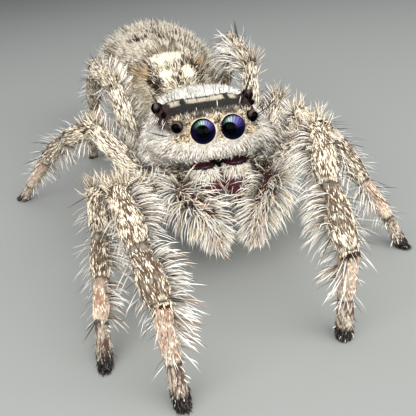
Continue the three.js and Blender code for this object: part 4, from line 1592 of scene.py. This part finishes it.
# ==== the studio ===============================================================================
# A plain pale floor, and three soft lamps: one overhead, and one to each side in front. The
# camera stands near the spider's face and looks down at it.

LENS = 41.54
CAMERA_OFFSET = (-2.84, -14.21, 5.62)  # from between the front eyes
CAMERA_TURN = math.radians(9.1)
CAMERA_FALL = math.radians(30.4)
CAMERA_ROLL = math.radians(-5.5)
FLOOR_SIZE = 1.2
FLOOR_GREY = paint(132, 134, 132)
SKY = (0.8, 0.83, 0.88, 1)
SKY_STRENGTH = 0.35
# Each lamp's place, what it points at, its size, its power and its tint.
LAMPS = {
    "ceiling": ((4, 6, 60), (4, 6, 0), (100, 90), 0.034, (1.0, 1.0, 1.0)),
    "key_right": ((46, -66, 42), (0, -2, 2), (110, 70), 0.15, (1.0, 0.99, 0.96)),
    "key_left": ((-56, -60, 42), (0, -2, 2), (110, 70), 0.115, (1.0, 0.99, 0.96)),
}
scene = bpy.context.scene

forward = Vector((
    math.sin(CAMERA_TURN) * math.cos(CAMERA_FALL), math.cos(CAMERA_TURN) * math.cos(CAMERA_FALL),
    -math.sin(CAMERA_FALL)))
level = forward.cross(Vector((0, 0, 1))).normalized()
upright = level.cross(forward)
right = level * math.cos(CAMERA_ROLL) + upright * math.sin(CAMERA_ROLL)
camera_turn = Matrix((right, right.cross(forward), -forward)).transposed().to_4x4()
camera = bpy.data.objects.new("camera", bpy.data.cameras.new("camera"))
camera.data.lens = LENS
camera.data.clip_start = 0.001
camera.matrix_world = Matrix.Translation((brow + CAMERA_OFFSET) * MM) @ camera_turn
scene.collection.objects.link(camera)
scene.camera = camera

bpy.ops.object.select_all(action="DESELECT")
bpy.ops.mesh.primitive_plane_add(size=FLOOR_SIZE, location=(0, 0, 0))
floor = bpy.context.active_object
floor.name = "floor"
floor_material, _, _ = new_material("floor", Base_Color=(*FLOOR_GREY, 1), Roughness=0.8)
floor.data.materials.append(floor_material)

for name, (place, aim, size, power, tint) in LAMPS.items():
    light = bpy.data.lights.new(name, "AREA")
    light.shape = "RECTANGLE"
    light.size, light.size_y = size[0] * MM, size[1] * MM
    light.energy = power
    light.color = tint
    holder = bpy.data.objects.new(name, light)
    turn = (Vector(place) - Vector(aim)).to_track_quat("Z", "Y").to_matrix().to_4x4()
    holder.matrix_world = Matrix.Translation(Vector(place) * MM) @ turn
    scene.collection.objects.link(holder)
world = bpy.data.worlds.new("studio")
world.use_nodes = True
world.node_tree.nodes["Background"].inputs["Color"].default_value = SKY
world.node_tree.nodes["Background"].inputs["Strength"].default_value = SKY_STRENGTH
scene.world = world
scene.view_settings.view_transform = "Standard"
